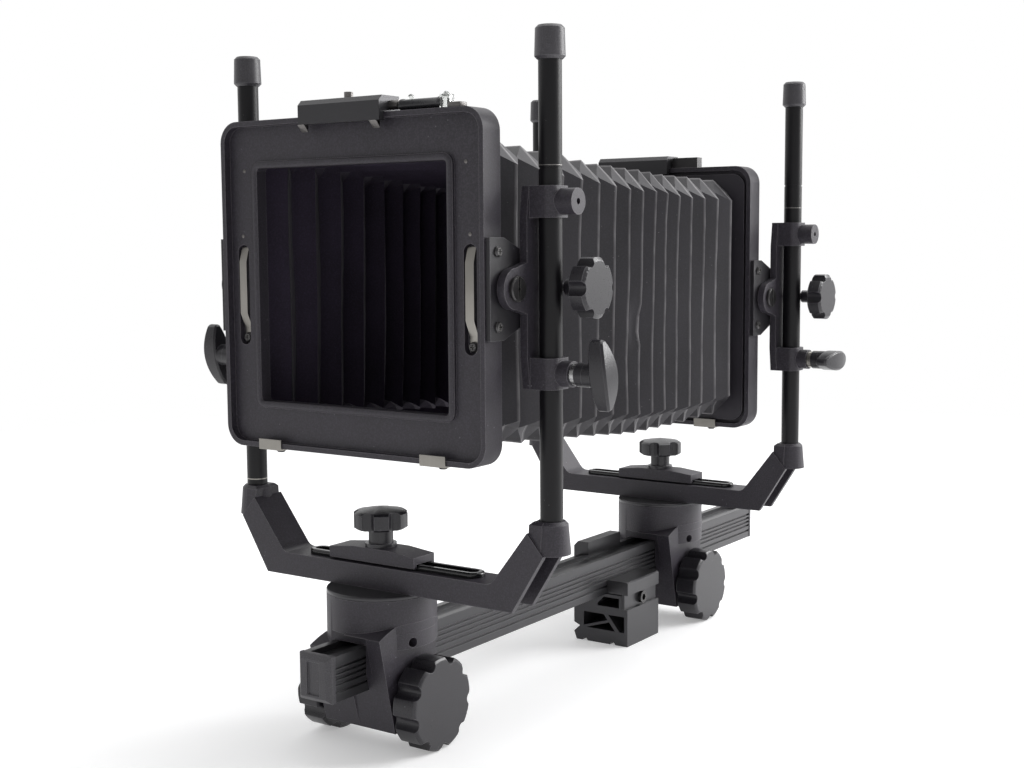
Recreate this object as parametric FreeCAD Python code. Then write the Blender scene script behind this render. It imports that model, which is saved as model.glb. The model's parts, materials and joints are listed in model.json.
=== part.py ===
"""Monorail view camera: two standards on a ribbed rail, a pleated bellows and a tripod block.

Millimetres, +Z up. The origin is the mouth of the tripod socket, on the surface the camera
stands on. +Y runs along the rail from the front standard to the rear one, +X to the right.
A standard's own pieces are drawn about its swing axis and the middle of its frame.
"""
import FreeCAD, Part
import math
import os
from collections import namedtuple

V = FreeCAD.Vector
X_AXIS, Y_AXIS, Z_AXIS = V(1, 0, 0), V(0, 1, 0), V(0, 0, 1)

# ---- clearances ----
running = 0.05            # radial play of a shaft or slide that turns or runs
seat_play = 0.1           # play of a piece that drops into a pocket
slide_gap = 0.15          # gap between faces that slide past each other
past = 1.0                # how far a cut starts or ends outside the piece that it opens
edge_reach = 1.0          # how far inside an outline's end its edges are still picked
stud_rod_gap = 1.0        # from a rise lock's stud to the rod

# ---- rail ----
rail_width = 21.0
rail_height = 23.7
rail_length = 476.5
rail_bottom_z = 33.2
rail_front_y = -284.0
rail_channel_width = 12.6
rail_channel_depth = 3.0
rail_groove_width = 1.3
rail_groove_depth = 1.2
rail_groove_pitch = 2.8
rail_groove_count = 4     # close together, above one that stands apart
rail_groove_low = 4.6     # height of the lowest groove above the rail's underside
rail_groove_rise = 4.0    # from the lowest groove to the next one
rail_core_width = 12.0
rail_core_height = 9.0
end_cap_thickness = 5.0
end_cap_overhang = 0.3
end_cap_bevel = 2.4
end_cap_plug = 8.0
end_cap_panel_depth = 1.0
end_cap_panel_width = 8.0
end_cap_panel_margin = 3.6   # above and below the panel

# ---- rack and pinion ----
tooth_module = 1.25
pinion_teeth = 16
pressure_angle = math.radians(20)
addendum = 0.9 * tooth_module
dedendum = 1.25 * tooth_module
backlash = 0.16
rack_width = 8.0
rack_back = 3.0
pinion_width = 7.2
pinion_shaft_radius = 4.0
pinion_shaft_tail = 9.4   # of the shaft, left of the rail's middle

# ---- focus knobs ----
focus_knob_radius = 24.4
focus_knob_thickness = 15.0
focus_knob_lobes = 9
focus_knob_groove, focus_knob_groove_offset = 5.4, 3.3
focus_knob_turn = -17.0
focus_hub_radius = 9.0
focus_hub_length = 1.35
focus_knob_grip = 9.0     # length of pinion shaft inside the drive knob
lock_screw_reach = 12.9   # of the focus lock's screw into the carriage
knob_edge = 1.2

# ---- carriage ----
carriage_half_width = 23.5
carriage_bottom_z = 10.8
carriage_top_z = 61.9
carriage_front_top, carriage_front_bottom = -30.8, -19.2
carriage_rear_top, carriage_rear_bottom = 16.5, 14.0
cheek_arch_front, cheek_arch_front_z = -12.4, 67.4
cheek_arch_rear, cheek_arch_rear_z = 16.4, 64.6
cheek_flare_radius = 29.3
cheek_flare_low, cheek_flare_high = 57.0, 62.5
left_cheek_front_z, left_cheek_rear_z = 53.0, 55.0
left_cheek_arch_y, left_cheek_arch_z = -15.0, 58.0
mouth_half_width = 14.6
mouth_depth = 4.5         # how far the tunnel's wide mouth reaches in from the front
drum_radius = 29.0
drum_foot_z = 54.0
drum_top_z = 79.8
gear_room_play = 0.6
set_screw_y, set_screw_z = -8.8, 57.1
left_set_screw_z = 50.0
set_screw_radius = 2.5
set_screw_length = 6.0
set_screw_sink = 0.4
hex_key = 2.5

# ---- swing disc and shift clamp ----
disc_thickness = 2.2
disc_edge = 0.55
spigot_radius = 9.0
spigot_length = 10.0
stud_radius = 3.0
liner_inset = 11.9        # from the yoke's inner corner to the end of the liner
liner_width = 12.0
liner_height = 2.8
liner_wall = 1.2
liner_skirt = 4.0
liner_bevel = 0.8
clamp_half_length = 28.5
clamp_flat_half_length = 12.0
clamp_half_width = 8.5
clamp_thickness = 7.6
clamp_end_drop = 1.8
clamp_channel_depth = 1.95
shift_flange_radius, shift_flange_height = 8.3, 2.0
shift_stem_radius, shift_stem_height = 6.5, 7.5
shift_knob_radius = 14.5
shift_knob_height = 9.5
shift_knob_dome = 2.0
shift_knob_lobes = 6
shift_knob_groove, shift_knob_groove_offset = 5.0, 3.0
shift_knob_turn = 11.0
stud_grip = 6.0           # length of stud inside the shift knob

# ---- yoke ----
yoke_depth = 21.0
yoke_bar_height = 12.2
yoke_corner_to_rod = 29.2
yoke_heel_to_rod = 16.6
yoke_toe_past_rod = 1.7
yoke_neck_to_rod = 7.6
yoke_neck_z = 122.2
yoke_web = 4.0
yoke_wall = 3.0
yoke_inner_fillet = 6.0
yoke_rib = 2.5
socket_top_radius, socket_bottom_radius = 8.2, 9.5
socket_bottom_z, socket_top_z = 111.5, 127.6
socket_edge = 1.5
socket_block_to_rod = 7.4  # from the rod's axis to the flat inner face of the socket
socket_block_low, socket_block_high = 10.0, 8.6   # half depths at its foot and its top

# ---- rods ----
rod_to_bracket_bar = 0.8
rod_radius = 5.6
rod_foot_z = 113.0
rod_cap_top_z = 361.5
rod_cap_height = 15.8
rod_cap_radius = 7.0
rod_cap_flare = 0.4
rod_cap_edge = 1.4
rod_cap_wall_top = 3.0
index_ring_z = 295.5
index_ring_width = 0.9
index_ring_depth = 0.4

# ---- brackets that ride on the rods ----
bracket_gap = 0.6         # from the tilt plate to the bracket
bracket_bar_thickness = 4.2
bracket_front_y, bracket_rear_y = -10.5, 12.0
bracket_end_rear_y = 9.0
bracket_half_height = 48.0
bracket_arm_height = 15.0
bracket_arm_half_depth = 8.5
bracket_arm_past_rod = 6.6
bracket_arm_fillet = 5.0
barrel_radius = 6.25
barrel_height = 40.5      # of each barrel's axis above or below the tilt axis
upper_barrel_length, lower_barrel_length = 15.5, 12.7
barrel_socket_radius, barrel_socket_depth = 1.5, 5.0
lug_radius = 9.8
lug_root_half_height = 12.4
lug_overlap = 1.0
lock_stud_radius = 3.0
lock_stud_length = 23.2
lock_collar_radius, lock_collar_length = 5.2, 7.0
tilt_bolt_y = 8.5
tilt_bolt_radius = 2.2
tilt_bolt_head_radius, tilt_bolt_head_height = 3.6, 2.0
tilt_bolt_cover = 3.0     # thickness of knob over the bolt's end
tilt_knob_radius = 14.5
tilt_knob_thickness = 9.5
tilt_knob_past_rod = 12.2
tilt_knob_lobes = 6
tilt_knob_groove, tilt_knob_groove_offset = 5.0, 3.1
tilt_knob_turn = -14.5
tilt_stem_radius, tilt_stem_length = 4.0, 8.2
wing_neck_radius, wing_neck_length = 5.8, 4.4
wing_tip, wing_crown = 6.7, 9.5       # of the paddle, out from the neck
wing_half_height = 17.4
wing_half_width, wing_tip_half_width = 6.2, 1.7
wing_edge = 1.0
wing_cover = 0.5

# ---- lens board and frames ----
lens_board_size = 158.0
board_margin = 2.3
frame_corner = 11.0
frame_front_y = -34.8
frame_depth = 13.5
frame_lip = 2.7
board_recess = 4.0
rear_recess = 4.5
opening_side_margin, opening_top_margin = 18.0, 19.0
rib_width = 3.5
rib_height = 1.5
opening_corner = 2.0
pivot_y = -19.7
spring_from_edge = 10.8
spring_slot_width = 7.5
spring_slot_top, spring_slot_bottom = 21.0, -31.0
spring_slot_depth = 3.2
spring_width = 5.0
spring_thickness = 0.6
spring_bend = 7.5
spring_screw_bite = 1.4
clip_from_edge = 31.0
clip_width = 15.5
clip_thickness = 0.8
clip_overlap = 4.7        # how far a clip stands up from the frame's lower edge
clip_return = 11.0
clip_screw_offset = 2.0
clip_screw_length = 3.0

# ---- tilt plates and screws ----
plate_thickness = 2.5
plate_gap = 0.1
plate_front_half_height = 24.0
plate_shoulder_y = -22.8
plate_neck_y, plate_neck_half_height = -9.0, 18.5
plate_tail_y, plate_tail_half_height = 13.0, 15.0
plate_tail_corner = 5.0
plate_inset = 1.0         # of the plate behind the frame's front edge
tilt_range = math.radians(20)
plate_screw_y, plate_screw_z = -28.0, 17.4
pivot_head_radius, pivot_head_height, pivot_head_edge = 6.0, 2.0, 0.5
pivot_eye_radius, pivot_eye_depth = 1.0, 1.8
pivot_shank_radius = 4.0
coin_slot_width, coin_slot_depth = 1.4, 0.9
screw_shank_radius = 1.5
screw_head_radius, screw_head_height, screw_head_edge = 2.5, 1.6, 0.7
cross_slot_width, cross_slot_depth, cross_slot_length = 0.7, 0.8, 2.75
screw_length = 6.0

# ---- board lock and level ----
lock_half_length = 26.0
lock_front_y, lock_rear_y = -38.5, -23.0
lock_height = 7.7
lock_apron = 4.0          # how far its front hangs below the frame's top
lock_bevel = 2.5
lock_rod_radius = 2.3
lock_rod_y, lock_rod_height = -29.0, 3.2
lock_rod_left, lock_rod_right = -30.5, 31.0
lock_pin_radius, lock_pin_height = 2.2, 3.2
lock_pin_seat = 1.6       # how deep the pin sits in the bar
lock_pin_offset = 1.0
hook_x, hook_shift = 23.0, -1.5
hook_width, hook_drop, hook_thickness = 4.5, 2.0, 1.6
lock_block_start, lock_block_end = 27.0, 45.0
lock_block_half_depth, lock_block_height = 3.2, 6.5
level_radius = 2.35
level_gap = 1.0           # between the lock rod's end and the level
level_length = 25.0       # of its sleeve
level_end_length = 5.0
level_wedge_length = 7.0

# ---- bellows ----
ridge_margin = 3.5        # how far a ridge lies inside the lens board's edge
fold_depth = 8.0
ridge_top_chamfer, ridge_bottom_chamfer = 13.5, 8.5
valley_chamfer = 0.6
fold_count = 16
fold_squeeze = 0.14       # the middle folds stand this much closer than the end ones
fold_lag = 0.0255         # share of the length by which the middle folds have slid rearwards
fold_sag = 4.5
bellows_wall = 0.9
bellows_board_thickness = 2.5
bellows_board_lap = 2.0
bellows_board_corner = 8.0

# ---- tripod block ----
block_length = 41.2
block_right_x, block_left_x = 25.8, -12.7
block_wall = 3.9
block_hook_reach = 7.0
block_hook_height = 8.4
block_hook_edge = 3.0
block_ledge_z = 24.1
block_post_x = 21.6
block_top_gap = 0.1
hall_left_x, hall_right_x = -7.1, 23.4       # the lower hall that the strut and the brace divide
hall_floor_z, hall_roof_z = 9.0, 19.4
strut_top_x, strut_foot_x, strut_thickness = 8.8, 19.0, 2.6
brace_thickness = 1.6
attic_left_x, attic_right_x = 3.5, 19.5      # the upper hall
attic_floor_z, attic_roof_z = 24.7, 31.0
attic_bevel = 4.5
notch_low_z, notch_middle_z, notch_high_z = 5.3, 9.4, 11.3
notch_depth = 4.5
groove_radius = 1.9
groove_left_x, groove_right_x = -6.3, 14.6
jaw_height_over_rail = 9.1   # how far the jaw grips up the rail's side
jaw_lift = 0.5
jaw_leg_thickness = 1.9
jaw_edge = 1.0
jaw_right_x = 26.0
jaw_bolt_radius, jaw_bolt_head_radius = 2.5, 3.8
jaw_bolt_head_height = 2.65
jaw_bolt_bite = 4.0
jaw_bolt_z = 29.0
jaw_key, jaw_key_depth = 4.0, 1.8
socket_radius, socket_depth = 3.97, 8.0

# ---- places of the two standards ----
Standard = namedtuple("Standard", "name y shift centre_z wing_angle spring_rise")
front_set = 49.5          # of the front standard's swing axis behind the rail's front end
standard_spacing = 304.2
FRONT = Standard("front", rail_front_y + front_set, 9.0, 239.4, 12, 3.4)
REAR = Standard("rear", FRONT.y + standard_spacing, -1.0, 223.8, 90, 0.0)

# ---- worked out from the sizes above ----
rail_top_z = rail_bottom_z + rail_height
pitch_radius = tooth_module * pinion_teeth / 2
shaft_z = focus_knob_radius
pitch_line_z = shaft_z + pitch_radius
rack_root_z = pitch_line_z + dedendum
rack_top_z = rack_root_z + rack_back
rack_pitch = math.pi * tooth_module
disc_top_z = drum_top_z + disc_thickness
yoke_top_z = disc_top_z + yoke_bar_height
liner_top_z = yoke_top_z + liner_height
clamp_bottom_z = liner_top_z + slide_gap - clamp_channel_depth
clamp_top_z = clamp_bottom_z + clamp_thickness
frame_size = lens_board_size + 2 * (board_margin + frame_lip)
frame_half = frame_size / 2
frame_back_y = frame_front_y + frame_depth
panel_front_y = frame_front_y + board_recess
panel_back_y = frame_back_y - rear_recess
plate_inner_x = frame_half + plate_gap
plate_outer_x = plate_inner_x + plate_thickness
slot_arc_radius = tilt_bolt_y - pivot_y
bracket_inner_x = plate_outer_x + bracket_gap
bracket_outer_x = bracket_inner_x + bracket_bar_thickness
rod_x = bracket_outer_x + rod_to_bracket_bar + rod_radius
arm_outer_x = rod_x + bracket_arm_past_rod
wing_start_x = rod_x + lower_barrel_length + lock_collar_length + slide_gap
yoke_inner_half_length = rod_x - yoke_corner_to_rod
liner_half_length = yoke_inner_half_length - liner_inset
spring_x = frame_half - spring_from_edge
clip_x = frame_half - clip_from_edge
opening_width = lens_board_size - 2 * opening_side_margin
opening_height = lens_board_size - 2 * opening_top_margin
ridge_half = lens_board_size / 2 - ridge_margin
valley_half = ridge_half - fold_depth


# ---- small helpers ----
def box(x0, x1, y0, y1, z0, z1):
    """A box between two corners."""
    return Part.makeBox(x1 - x0, y1 - y0, z1 - z0, V(x0, y0, z0))


def rod(radius, start, end):
    """A round bar from one point to another."""
    return Part.makeCylinder(radius, (end - start).Length, start, end - start)


def prism(points, along):
    """A straight-sided outline of points swept by a vector."""
    outline = Part.makePolygon([V(*p) for p in points] + [V(*points[0])])
    return Part.Face(outline).extrude(along)


def rounded_slab(width, height, corner, y0, y1, x=0, z=0):
    """A plate in the XZ plane with rounded corners, from y0 to y1."""
    slab = box(x - width / 2, x + width / 2, y0, y1, z - height / 2, z + height / 2)
    return slab.makeFillet(corner, [e for e in slab.Edges if abs(e.tangentAt(0).y) > 0.9])


def stadium(half_length, width, z0, z1):
    """A bar with round ends along X."""
    centre = half_length - width / 2
    ends = [Part.makeCylinder(width / 2, z1 - z0, V(x, 0, z0)) for x in (-centre, centre)]
    return box(-centre, centre, -width / 2, width / 2, z0, z1).fuse(ends).removeSplitter()


def turned(profile, base, axis):
    """A solid of revolution; profile is (radius, height) pairs measured along axis from base."""
    outline = Part.makePolygon([V(r, 0, h) for r, h in profile + profile[:1]])
    solid = Part.Face(outline).revolve(V(0, 0, 0), Z_AXIS, 360)
    solid.Placement = FreeCAD.Placement(base, FreeCAD.Rotation(Z_AXIS, axis))
    return solid


def ring_of_cuts(count, orbit, radius, z0, z1):
    """Round bars parallel to Z on a circle, half a step away from the X axis."""
    angles = [2 * math.pi * (i + 0.5) / count for i in range(count)]
    return [Part.makeCylinder(radius, z1 - z0, V(orbit * math.cos(a), orbit * math.sin(a), z0))
            for a in angles]


def mirrored(shape):
    """The same shape on the other side of the X = 0 plane."""
    return shape.mirror(V(0, 0, 0), X_AXIS)


def both_sides(shape):
    """A shape and its mirror image as one group of separate solids."""
    return Part.makeCompound([shape, mirrored(shape)])


def hexagon(across, start, end):
    """A hexagonal bar, for key sockets."""
    radius = across / math.sqrt(3)
    corners = [V(radius * math.cos(math.radians(a)), radius * math.sin(math.radians(a)), 0)
               for a in range(30, 420, 60)]
    bar = Part.Face(Part.makePolygon(corners)).extrude(V(0, 0, (end - start).Length))
    bar.Placement = FreeCAD.Placement(start, FreeCAD.Rotation(Z_AXIS, end - start))
    return bar


def cross_recess(depth, size, top, axis):
    """The cross-shaped driver recess of a screw head."""
    long, narrow = size / 2, cross_slot_width / 2
    cross = box(-long, long, -narrow, narrow, -depth, 1).fuse(box(-narrow, narrow, -long, long, -depth, 1))
    cross.Placement = FreeCAD.Placement(top, FreeCAD.Rotation(Z_AXIS, axis))
    return cross


def pan_screw(seat, axis, length=screw_length):
    """A cross-head screw: its head stands out along axis from seat, its shank goes the other way."""
    edge = screw_head_edge
    head = turned([(0, 0), (screw_head_radius, 0), (screw_head_radius, edge),
                   (screw_head_radius - edge, screw_head_height), (0, screw_head_height)], seat, axis)
    shank = rod(screw_shank_radius, seat, seat - axis * length)
    top = seat + axis * screw_head_height
    recess = cross_recess(cross_slot_depth, cross_slot_length, top, axis)
    return head.fuse(shank).cut(recess)


def screw_hole(seat, axis, length=screw_length):
    """The hole that a pan screw's shank fills."""
    return rod(screw_shank_radius, seat + axis, seat - axis * length)


# ---- rail, caps and rack ----
def make_rail():
    """Extruded rail: top channel, ribbed sides, hollow core and a groove for the rack."""
    half = rail_width / 2
    rear_y = rail_front_y + rail_length
    rail = box(-half, half, rail_front_y, rear_y, rail_bottom_z, rail_top_z)
    channel = box(-rail_channel_width / 2, rail_channel_width / 2, rail_front_y, rear_y,
                  rail_top_z - rail_channel_depth, rail_top_z)
    rack_groove = box(-rack_width / 2 - running, rack_width / 2 + running, rail_front_y, rear_y,
                      rail_bottom_z, rack_top_z)
    cuts = [channel, rack_groove, rail_core(0, rail_front_y, rear_y)]
    heights = [rail_groove_rise + i * rail_groove_pitch for i in range(rail_groove_count)]
    for height in [0] + heights:
        z = rail_bottom_z + rail_groove_low + height
        for x in (-half, half - rail_groove_depth):
            cuts.append(box(x, x + rail_groove_depth, rail_front_y, rear_y, z, z + rail_groove_width))
    return rail.cut(cuts)


def rail_core(play, y0, y1):
    """The hollow inside the rail, or with play the plug that fits in it."""
    middle = (rack_top_z + rail_top_z - rail_channel_depth) / 2
    half_w, half_h = rail_core_width / 2 - play, rail_core_height / 2 - play
    return box(-half_w, half_w, y0, y1, middle - half_h, middle + half_h)


def make_end_cap(y_face, outward):
    """A bevelled cap with a sunk panel; outward is -1 at the front end and +1 at the rear."""
    half = rail_width / 2 + end_cap_overhang
    z0, z1 = rail_bottom_z - end_cap_overhang / 2, rail_top_z + end_cap_overhang
    y_out = y_face + outward * end_cap_thickness
    cap = box(-half, half, min(y_face, y_out), max(y_face, y_out), z0, z1)
    outer = [e for e in cap.Edges if abs(e.BoundBox.Center.y - y_out) < 0.01]
    cap = cap.makeChamfer(end_cap_bevel, outer)
    panel_y = y_out - outward * end_cap_panel_depth
    panel = box(-end_cap_panel_width / 2, end_cap_panel_width / 2, min(panel_y, y_out), max(panel_y, y_out),
                z0 + end_cap_panel_margin, z1 - end_cap_panel_margin)
    plug_y = y_face - outward * end_cap_plug
    return cap.cut(panel).fuse(rail_core(seat_play, min(y_face, plug_y), max(y_face, plug_y)))


def make_end_caps():
    """The two caps that close the rail."""
    rear_y = rail_front_y + rail_length
    return Part.makeCompound([make_end_cap(rail_front_y, -1), make_end_cap(rear_y, 1)])


def rack_tooth_half_width(z):
    """Half width of a rack tooth at a height; it narrows downwards, towards the pinion."""
    return rack_pitch / 4 - backlash / 4 + (z - pitch_line_z) * math.tan(pressure_angle)


def make_rack():
    """Toothed strip in the rail's underside, teeth down."""
    margin = rack_pitch / 2
    count = int((rail_length - 2 * margin) / rack_pitch)
    tip_z = pitch_line_z - addendum
    y0, y1 = rail_front_y, rail_front_y + rail_length
    points = [(0, y0, rack_top_z), (0, y0, rack_root_z)]
    for i in range(count):
        middle = rack_gap_zero() + (i + 0.5) * rack_pitch
        root, tip = rack_tooth_half_width(rack_root_z), rack_tooth_half_width(tip_z)
        points += [(0, middle - root, rack_root_z), (0, middle - tip, tip_z),
                   (0, middle + tip, tip_z), (0, middle + root, rack_root_z)]
    points += [(0, y1, rack_root_z), (0, y1, rack_top_z)]
    points = [(-rack_width / 2, y, z) for _, y, z in points]
    return prism(points, V(rack_width, 0, 0))


def rack_gap_zero():
    """Place of the first gap between rack teeth."""
    return rail_front_y + rack_pitch / 2


# ---- focus drive ----
def involute_point(base_radius, radius, flank_angle, side):
    """A point of a tooth flank; flank_angle is half the tooth's angle at the base circle."""
    roll = math.sqrt(max((radius / base_radius) ** 2 - 1, 0))
    angle = flank_angle - (roll - math.atan(roll))
    return V(0, side * radius * math.sin(angle), radius * math.cos(angle))


def make_pinion_outline():
    """Involute teeth about the X axis, the first one pointing up."""
    base = pitch_radius * math.cos(pressure_angle)
    tip, root = pitch_radius + addendum, pitch_radius - dedendum
    half_tooth = (math.pi / 2 - backlash / 2 / tooth_module) / pinion_teeth
    flank = half_tooth + math.tan(pressure_angle) - pressure_angle
    radii = [base + (tip - base) * i / 3 for i in range(4)]
    corners = []
    for tooth in range(pinion_teeth):
        turn = FreeCAD.Rotation(X_AXIS, 360 * tooth / pinion_teeth)
        right = [involute_point(base, r, flank, 1) for r in radii]
        left = [V(0, -p.y, p.z) for p in reversed(right)]
        foot = root / base
        outline = [right[0] * foot] + right + left + [left[-1] * foot]
        corners += [turn.multVec(p) for p in outline]
    return Part.Face(Part.makePolygon(corners + corners[:1]))


def make_pinion_shaft(standard):
    """Pinion and its shaft, turned so that a tooth stands in a gap of the rack."""
    gear = make_pinion_outline()
    gear.translate(V(-pinion_width / 2, 0, 0))
    gear = gear.extrude(V(pinion_width, 0, 0))
    shaft_end = focus_knob_inner_x() + focus_knob_grip
    shaft = rod(pinion_shaft_radius, V(-pinion_shaft_tail, 0, 0), V(shaft_end, 0, 0))
    part = gear.fuse(shaft)
    steps = (standard.y - rack_gap_zero()) / rack_pitch
    offset = (round(steps) - steps) * rack_pitch
    part.rotate(V(0, 0, 0), X_AXIS, -math.degrees(offset / pitch_radius))
    part.translate(V(0, standard.y, shaft_z))
    return part


def focus_knob_inner_x():
    """Inner face of a focus knob's rim."""
    return carriage_half_width + slide_gap + focus_hub_length


def make_big_knob():
    """Lobed focus knob about Z, its hub seated at z = 0."""
    rim_z, top = focus_hub_length, focus_hub_length + focus_knob_thickness
    r = focus_knob_radius
    knob = turned([(0, 0), (focus_hub_radius, 0), (focus_hub_radius, rim_z), (r - knob_edge, rim_z),
                   (r, rim_z + knob_edge), (r, top - knob_edge), (r - knob_edge, top), (0, top)],
                  V(0, 0, 0), Z_AXIS)
    grooves = ring_of_cuts(focus_knob_lobes, r + focus_knob_groove_offset, focus_knob_groove, rim_z, top)
    knob = knob.cut(grooves)
    knob.rotate(V(0, 0, 0), Z_AXIS, focus_knob_turn)
    return knob


def on_x_axis(shape, x, y, z, side=1):
    """Lay a shape drawn along Z onto the X direction at a place; side -1 points it to -X."""
    placed = shape.copy()
    placed.Placement = FreeCAD.Placement(V(x, y, z), FreeCAD.Rotation(Z_AXIS, X_AXIS * side))
    return placed


def make_focus_knob(standard):
    """Drive knob on the right, pressed on the pinion shaft."""
    bore = Part.makeCylinder(pinion_shaft_radius, focus_hub_length + focus_knob_grip)
    return on_x_axis(make_big_knob().cut(bore), carriage_half_width + slide_gap, standard.y, shaft_z)


def make_focus_lock_knob(standard):
    """Lock knob on the left, with the screw that presses on the end of the pinion shaft."""
    screw = Part.makeCylinder(pinion_shaft_radius, lock_screw_reach, V(0, 0, -lock_screw_reach))
    knob = make_big_knob().fuse(screw)
    return on_x_axis(knob, -carriage_half_width - slide_gap, standard.y, shaft_z, -1)


# ---- carriage ----
def cheek(x, z_front, top_edges, width):
    """One cheek of the carriage: its sloping front and rear, closed by the given top edges."""
    front_top, rear_top = V(x, carriage_front_top, z_front), top_edges[-1].lastVertex().Point
    rear_foot = V(x, carriage_rear_bottom, carriage_bottom_z)
    front_foot = V(x, carriage_front_bottom, carriage_bottom_z)
    sides = [Part.LineSegment(a, b).toShape()
             for a, b in ((rear_top, rear_foot), (rear_foot, front_foot), (front_foot, front_top))]
    return Part.Face(Part.Wire(top_edges + sides)).extrude(V(width, 0, 0))


def arched_top(x):
    """Top edge of the right cheek, from front to rear."""
    crown = V(x, cheek_arch_front, cheek_arch_front_z)
    rear = V(x, cheek_arch_rear, cheek_arch_rear_z)
    return [Part.Arc(V(x, carriage_front_top, carriage_top_z), crown, rear).toShape()]


def low_arched_top(x):
    """Top edge of the left cheek, from front to rear."""
    crown, rear = V(x, left_cheek_arch_y, left_cheek_arch_z), V(x, carriage_rear_top, left_cheek_rear_z)
    return [Part.Arc(V(x, carriage_front_top, left_cheek_front_z), crown, rear).toShape()]


def make_cheek_flare():
    """Skin of the right cheek where it widens round the drum, under the arch."""
    w = carriage_half_width
    cone = turned([(0, drum_foot_z), (w, drum_foot_z), (w, cheek_flare_low),
                   (cheek_flare_radius, cheek_flare_high), (cheek_flare_radius, cheek_arch_front_z),
                   (0, cheek_arch_front_z)], V(0, 0, 0), Z_AXIS)
    return cone.common(cheek(0, carriage_top_z, arched_top(0), cheek_flare_radius))


def carriage_cuts():
    """Rail tunnel with its wide mouth, room for the pinion, its bore and the spigot's bore."""
    w = carriage_half_width
    half = rail_width / 2 + slide_gap
    front, rear = carriage_front_top - past, carriage_rear_top + drum_radius
    tunnel = box(-half, half, front, rear, rail_bottom_z - slide_gap, rail_top_z + slide_gap)
    mouth = box(-mouth_half_width, mouth_half_width, front, carriage_front_top + mouth_depth,
                rail_bottom_z - slide_gap, carriage_top_z)
    room_radius = pitch_radius + addendum + gear_room_play
    room_half = pinion_width / 2 + gear_room_play
    gear_room = rod(room_radius, V(-room_half, 0, shaft_z), V(room_half, 0, shaft_z))
    gear_window = box(-room_half, room_half, -room_radius, room_radius, shaft_z, rail_bottom_z)
    bore = rod(pinion_shaft_radius + running, V(-w - past, 0, shaft_z), V(w + past, 0, shaft_z))
    spigot_bore = Part.makeCylinder(spigot_radius + running, spigot_length + past,
                                    V(0, 0, drum_top_z - spigot_length - past))
    return [tunnel, mouth, gear_room, gear_window, bore, spigot_bore]


def set_screw_faces():
    """Middle of each set screw's outer end, with the direction it faces."""
    x = carriage_half_width
    return [(V(x, set_screw_y, set_screw_z), X_AXIS), (V(-x, set_screw_y, left_set_screw_z), -X_AXIS)]


def make_carriage(standard):
    """Cast block round the rail: a low cheek, an arched cheek, and the swing drum above."""
    w = carriage_half_width
    left = cheek(-w, left_cheek_front_z, low_arched_top(-w), w)
    right = cheek(0, carriage_top_z, arched_top(0), w)
    drum = Part.makeCylinder(drum_radius, drum_top_z - drum_foot_z, V(0, 0, drum_foot_z))
    reach = set_screw_length + set_screw_sink
    holes = [rod(set_screw_radius, face + out * cheek_flare_radius, face - out * reach)
             for face, out in set_screw_faces()]
    body = left.fuse([right, drum, make_cheek_flare()]).cut(carriage_cuts() + holes)
    body.translate(V(0, standard.y, 0))
    return body


def make_set_screws(standard):
    """Socket set screws in the cheeks that take up the slack on the rail."""
    screws = []
    for face, out in set_screw_faces():
        outer = face - out * set_screw_sink + Y_AXIS * standard.y
        key = hexagon(hex_key, outer - out * hex_key, outer)
        screws.append(rod(set_screw_radius, outer - out * set_screw_length, outer).cut(key))
    return Part.makeCompound(screws)


# ---- swing disc, liner, clamp and shift knob ----
def make_swing_disc(standard):
    """Thin disc on the drum with its spigot below and the clamp stud above."""
    stud_top = clamp_top_z + shift_flange_height + shift_stem_height + stud_grip
    z0 = drum_top_z - spigot_length
    rim = disc_edge
    lift = drum_top_z + running
    disc = turned([(0, z0), (spigot_radius, z0), (spigot_radius, lift), (drum_radius, lift),
                   (drum_radius, disc_top_z - rim), (drum_radius - rim, disc_top_z),
                   (stud_radius, disc_top_z), (stud_radius, stud_top), (0, stud_top)],
                  V(0, standard.y, 0), Z_AXIS)
    return disc


def make_slot_liner(standard):
    """Raised rim round the yoke's slot, with a skirt down through it."""
    skirt_width = liner_width - 2 * liner_wall
    outer = stadium(liner_half_length, liner_width, yoke_top_z, liner_top_z)
    skirt = stadium(liner_half_length - liner_wall, skirt_width, yoke_top_z - liner_skirt, yoke_top_z)
    hole_width = 2 * (stud_radius + slide_gap)
    hole = stadium(liner_half_length - (liner_width - hole_width) / 2, hole_width,
                   yoke_top_z - liner_skirt, liner_top_z)
    top_edges = [e for e in outer.Edges if abs(e.BoundBox.Center.z - liner_top_z) < 0.01]
    rim = outer.makeChamfer(liner_bevel, top_edges)
    part = rim.fuse(skirt).cut(hole)
    part.translate(V(standard.shift, standard.y, 0))
    return part


def make_clamp_plate(standard):
    """Thick plate that straddles the liner, its ends sloping down a little."""
    length, flat, width = clamp_half_length, clamp_flat_half_length, clamp_half_width
    z, top = clamp_bottom_z, clamp_top_z
    outline = [(-length, -width, z), (length, -width, z), (length, -width, top - clamp_end_drop),
               (flat, -width, top), (-flat, -width, top), (-length, -width, top - clamp_end_drop)]
    plate = prism(outline, V(0, 2 * width, 0))
    half = liner_width / 2 + slide_gap
    channel = box(-length - past, length + past, -half, half, z, liner_top_z + slide_gap)
    hole = Part.makeCylinder(stud_radius, clamp_thickness + 2 * past, V(0, 0, z - past))
    part = plate.cut([channel, hole])
    part.translate(V(0, standard.y, 0))
    return part


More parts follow.
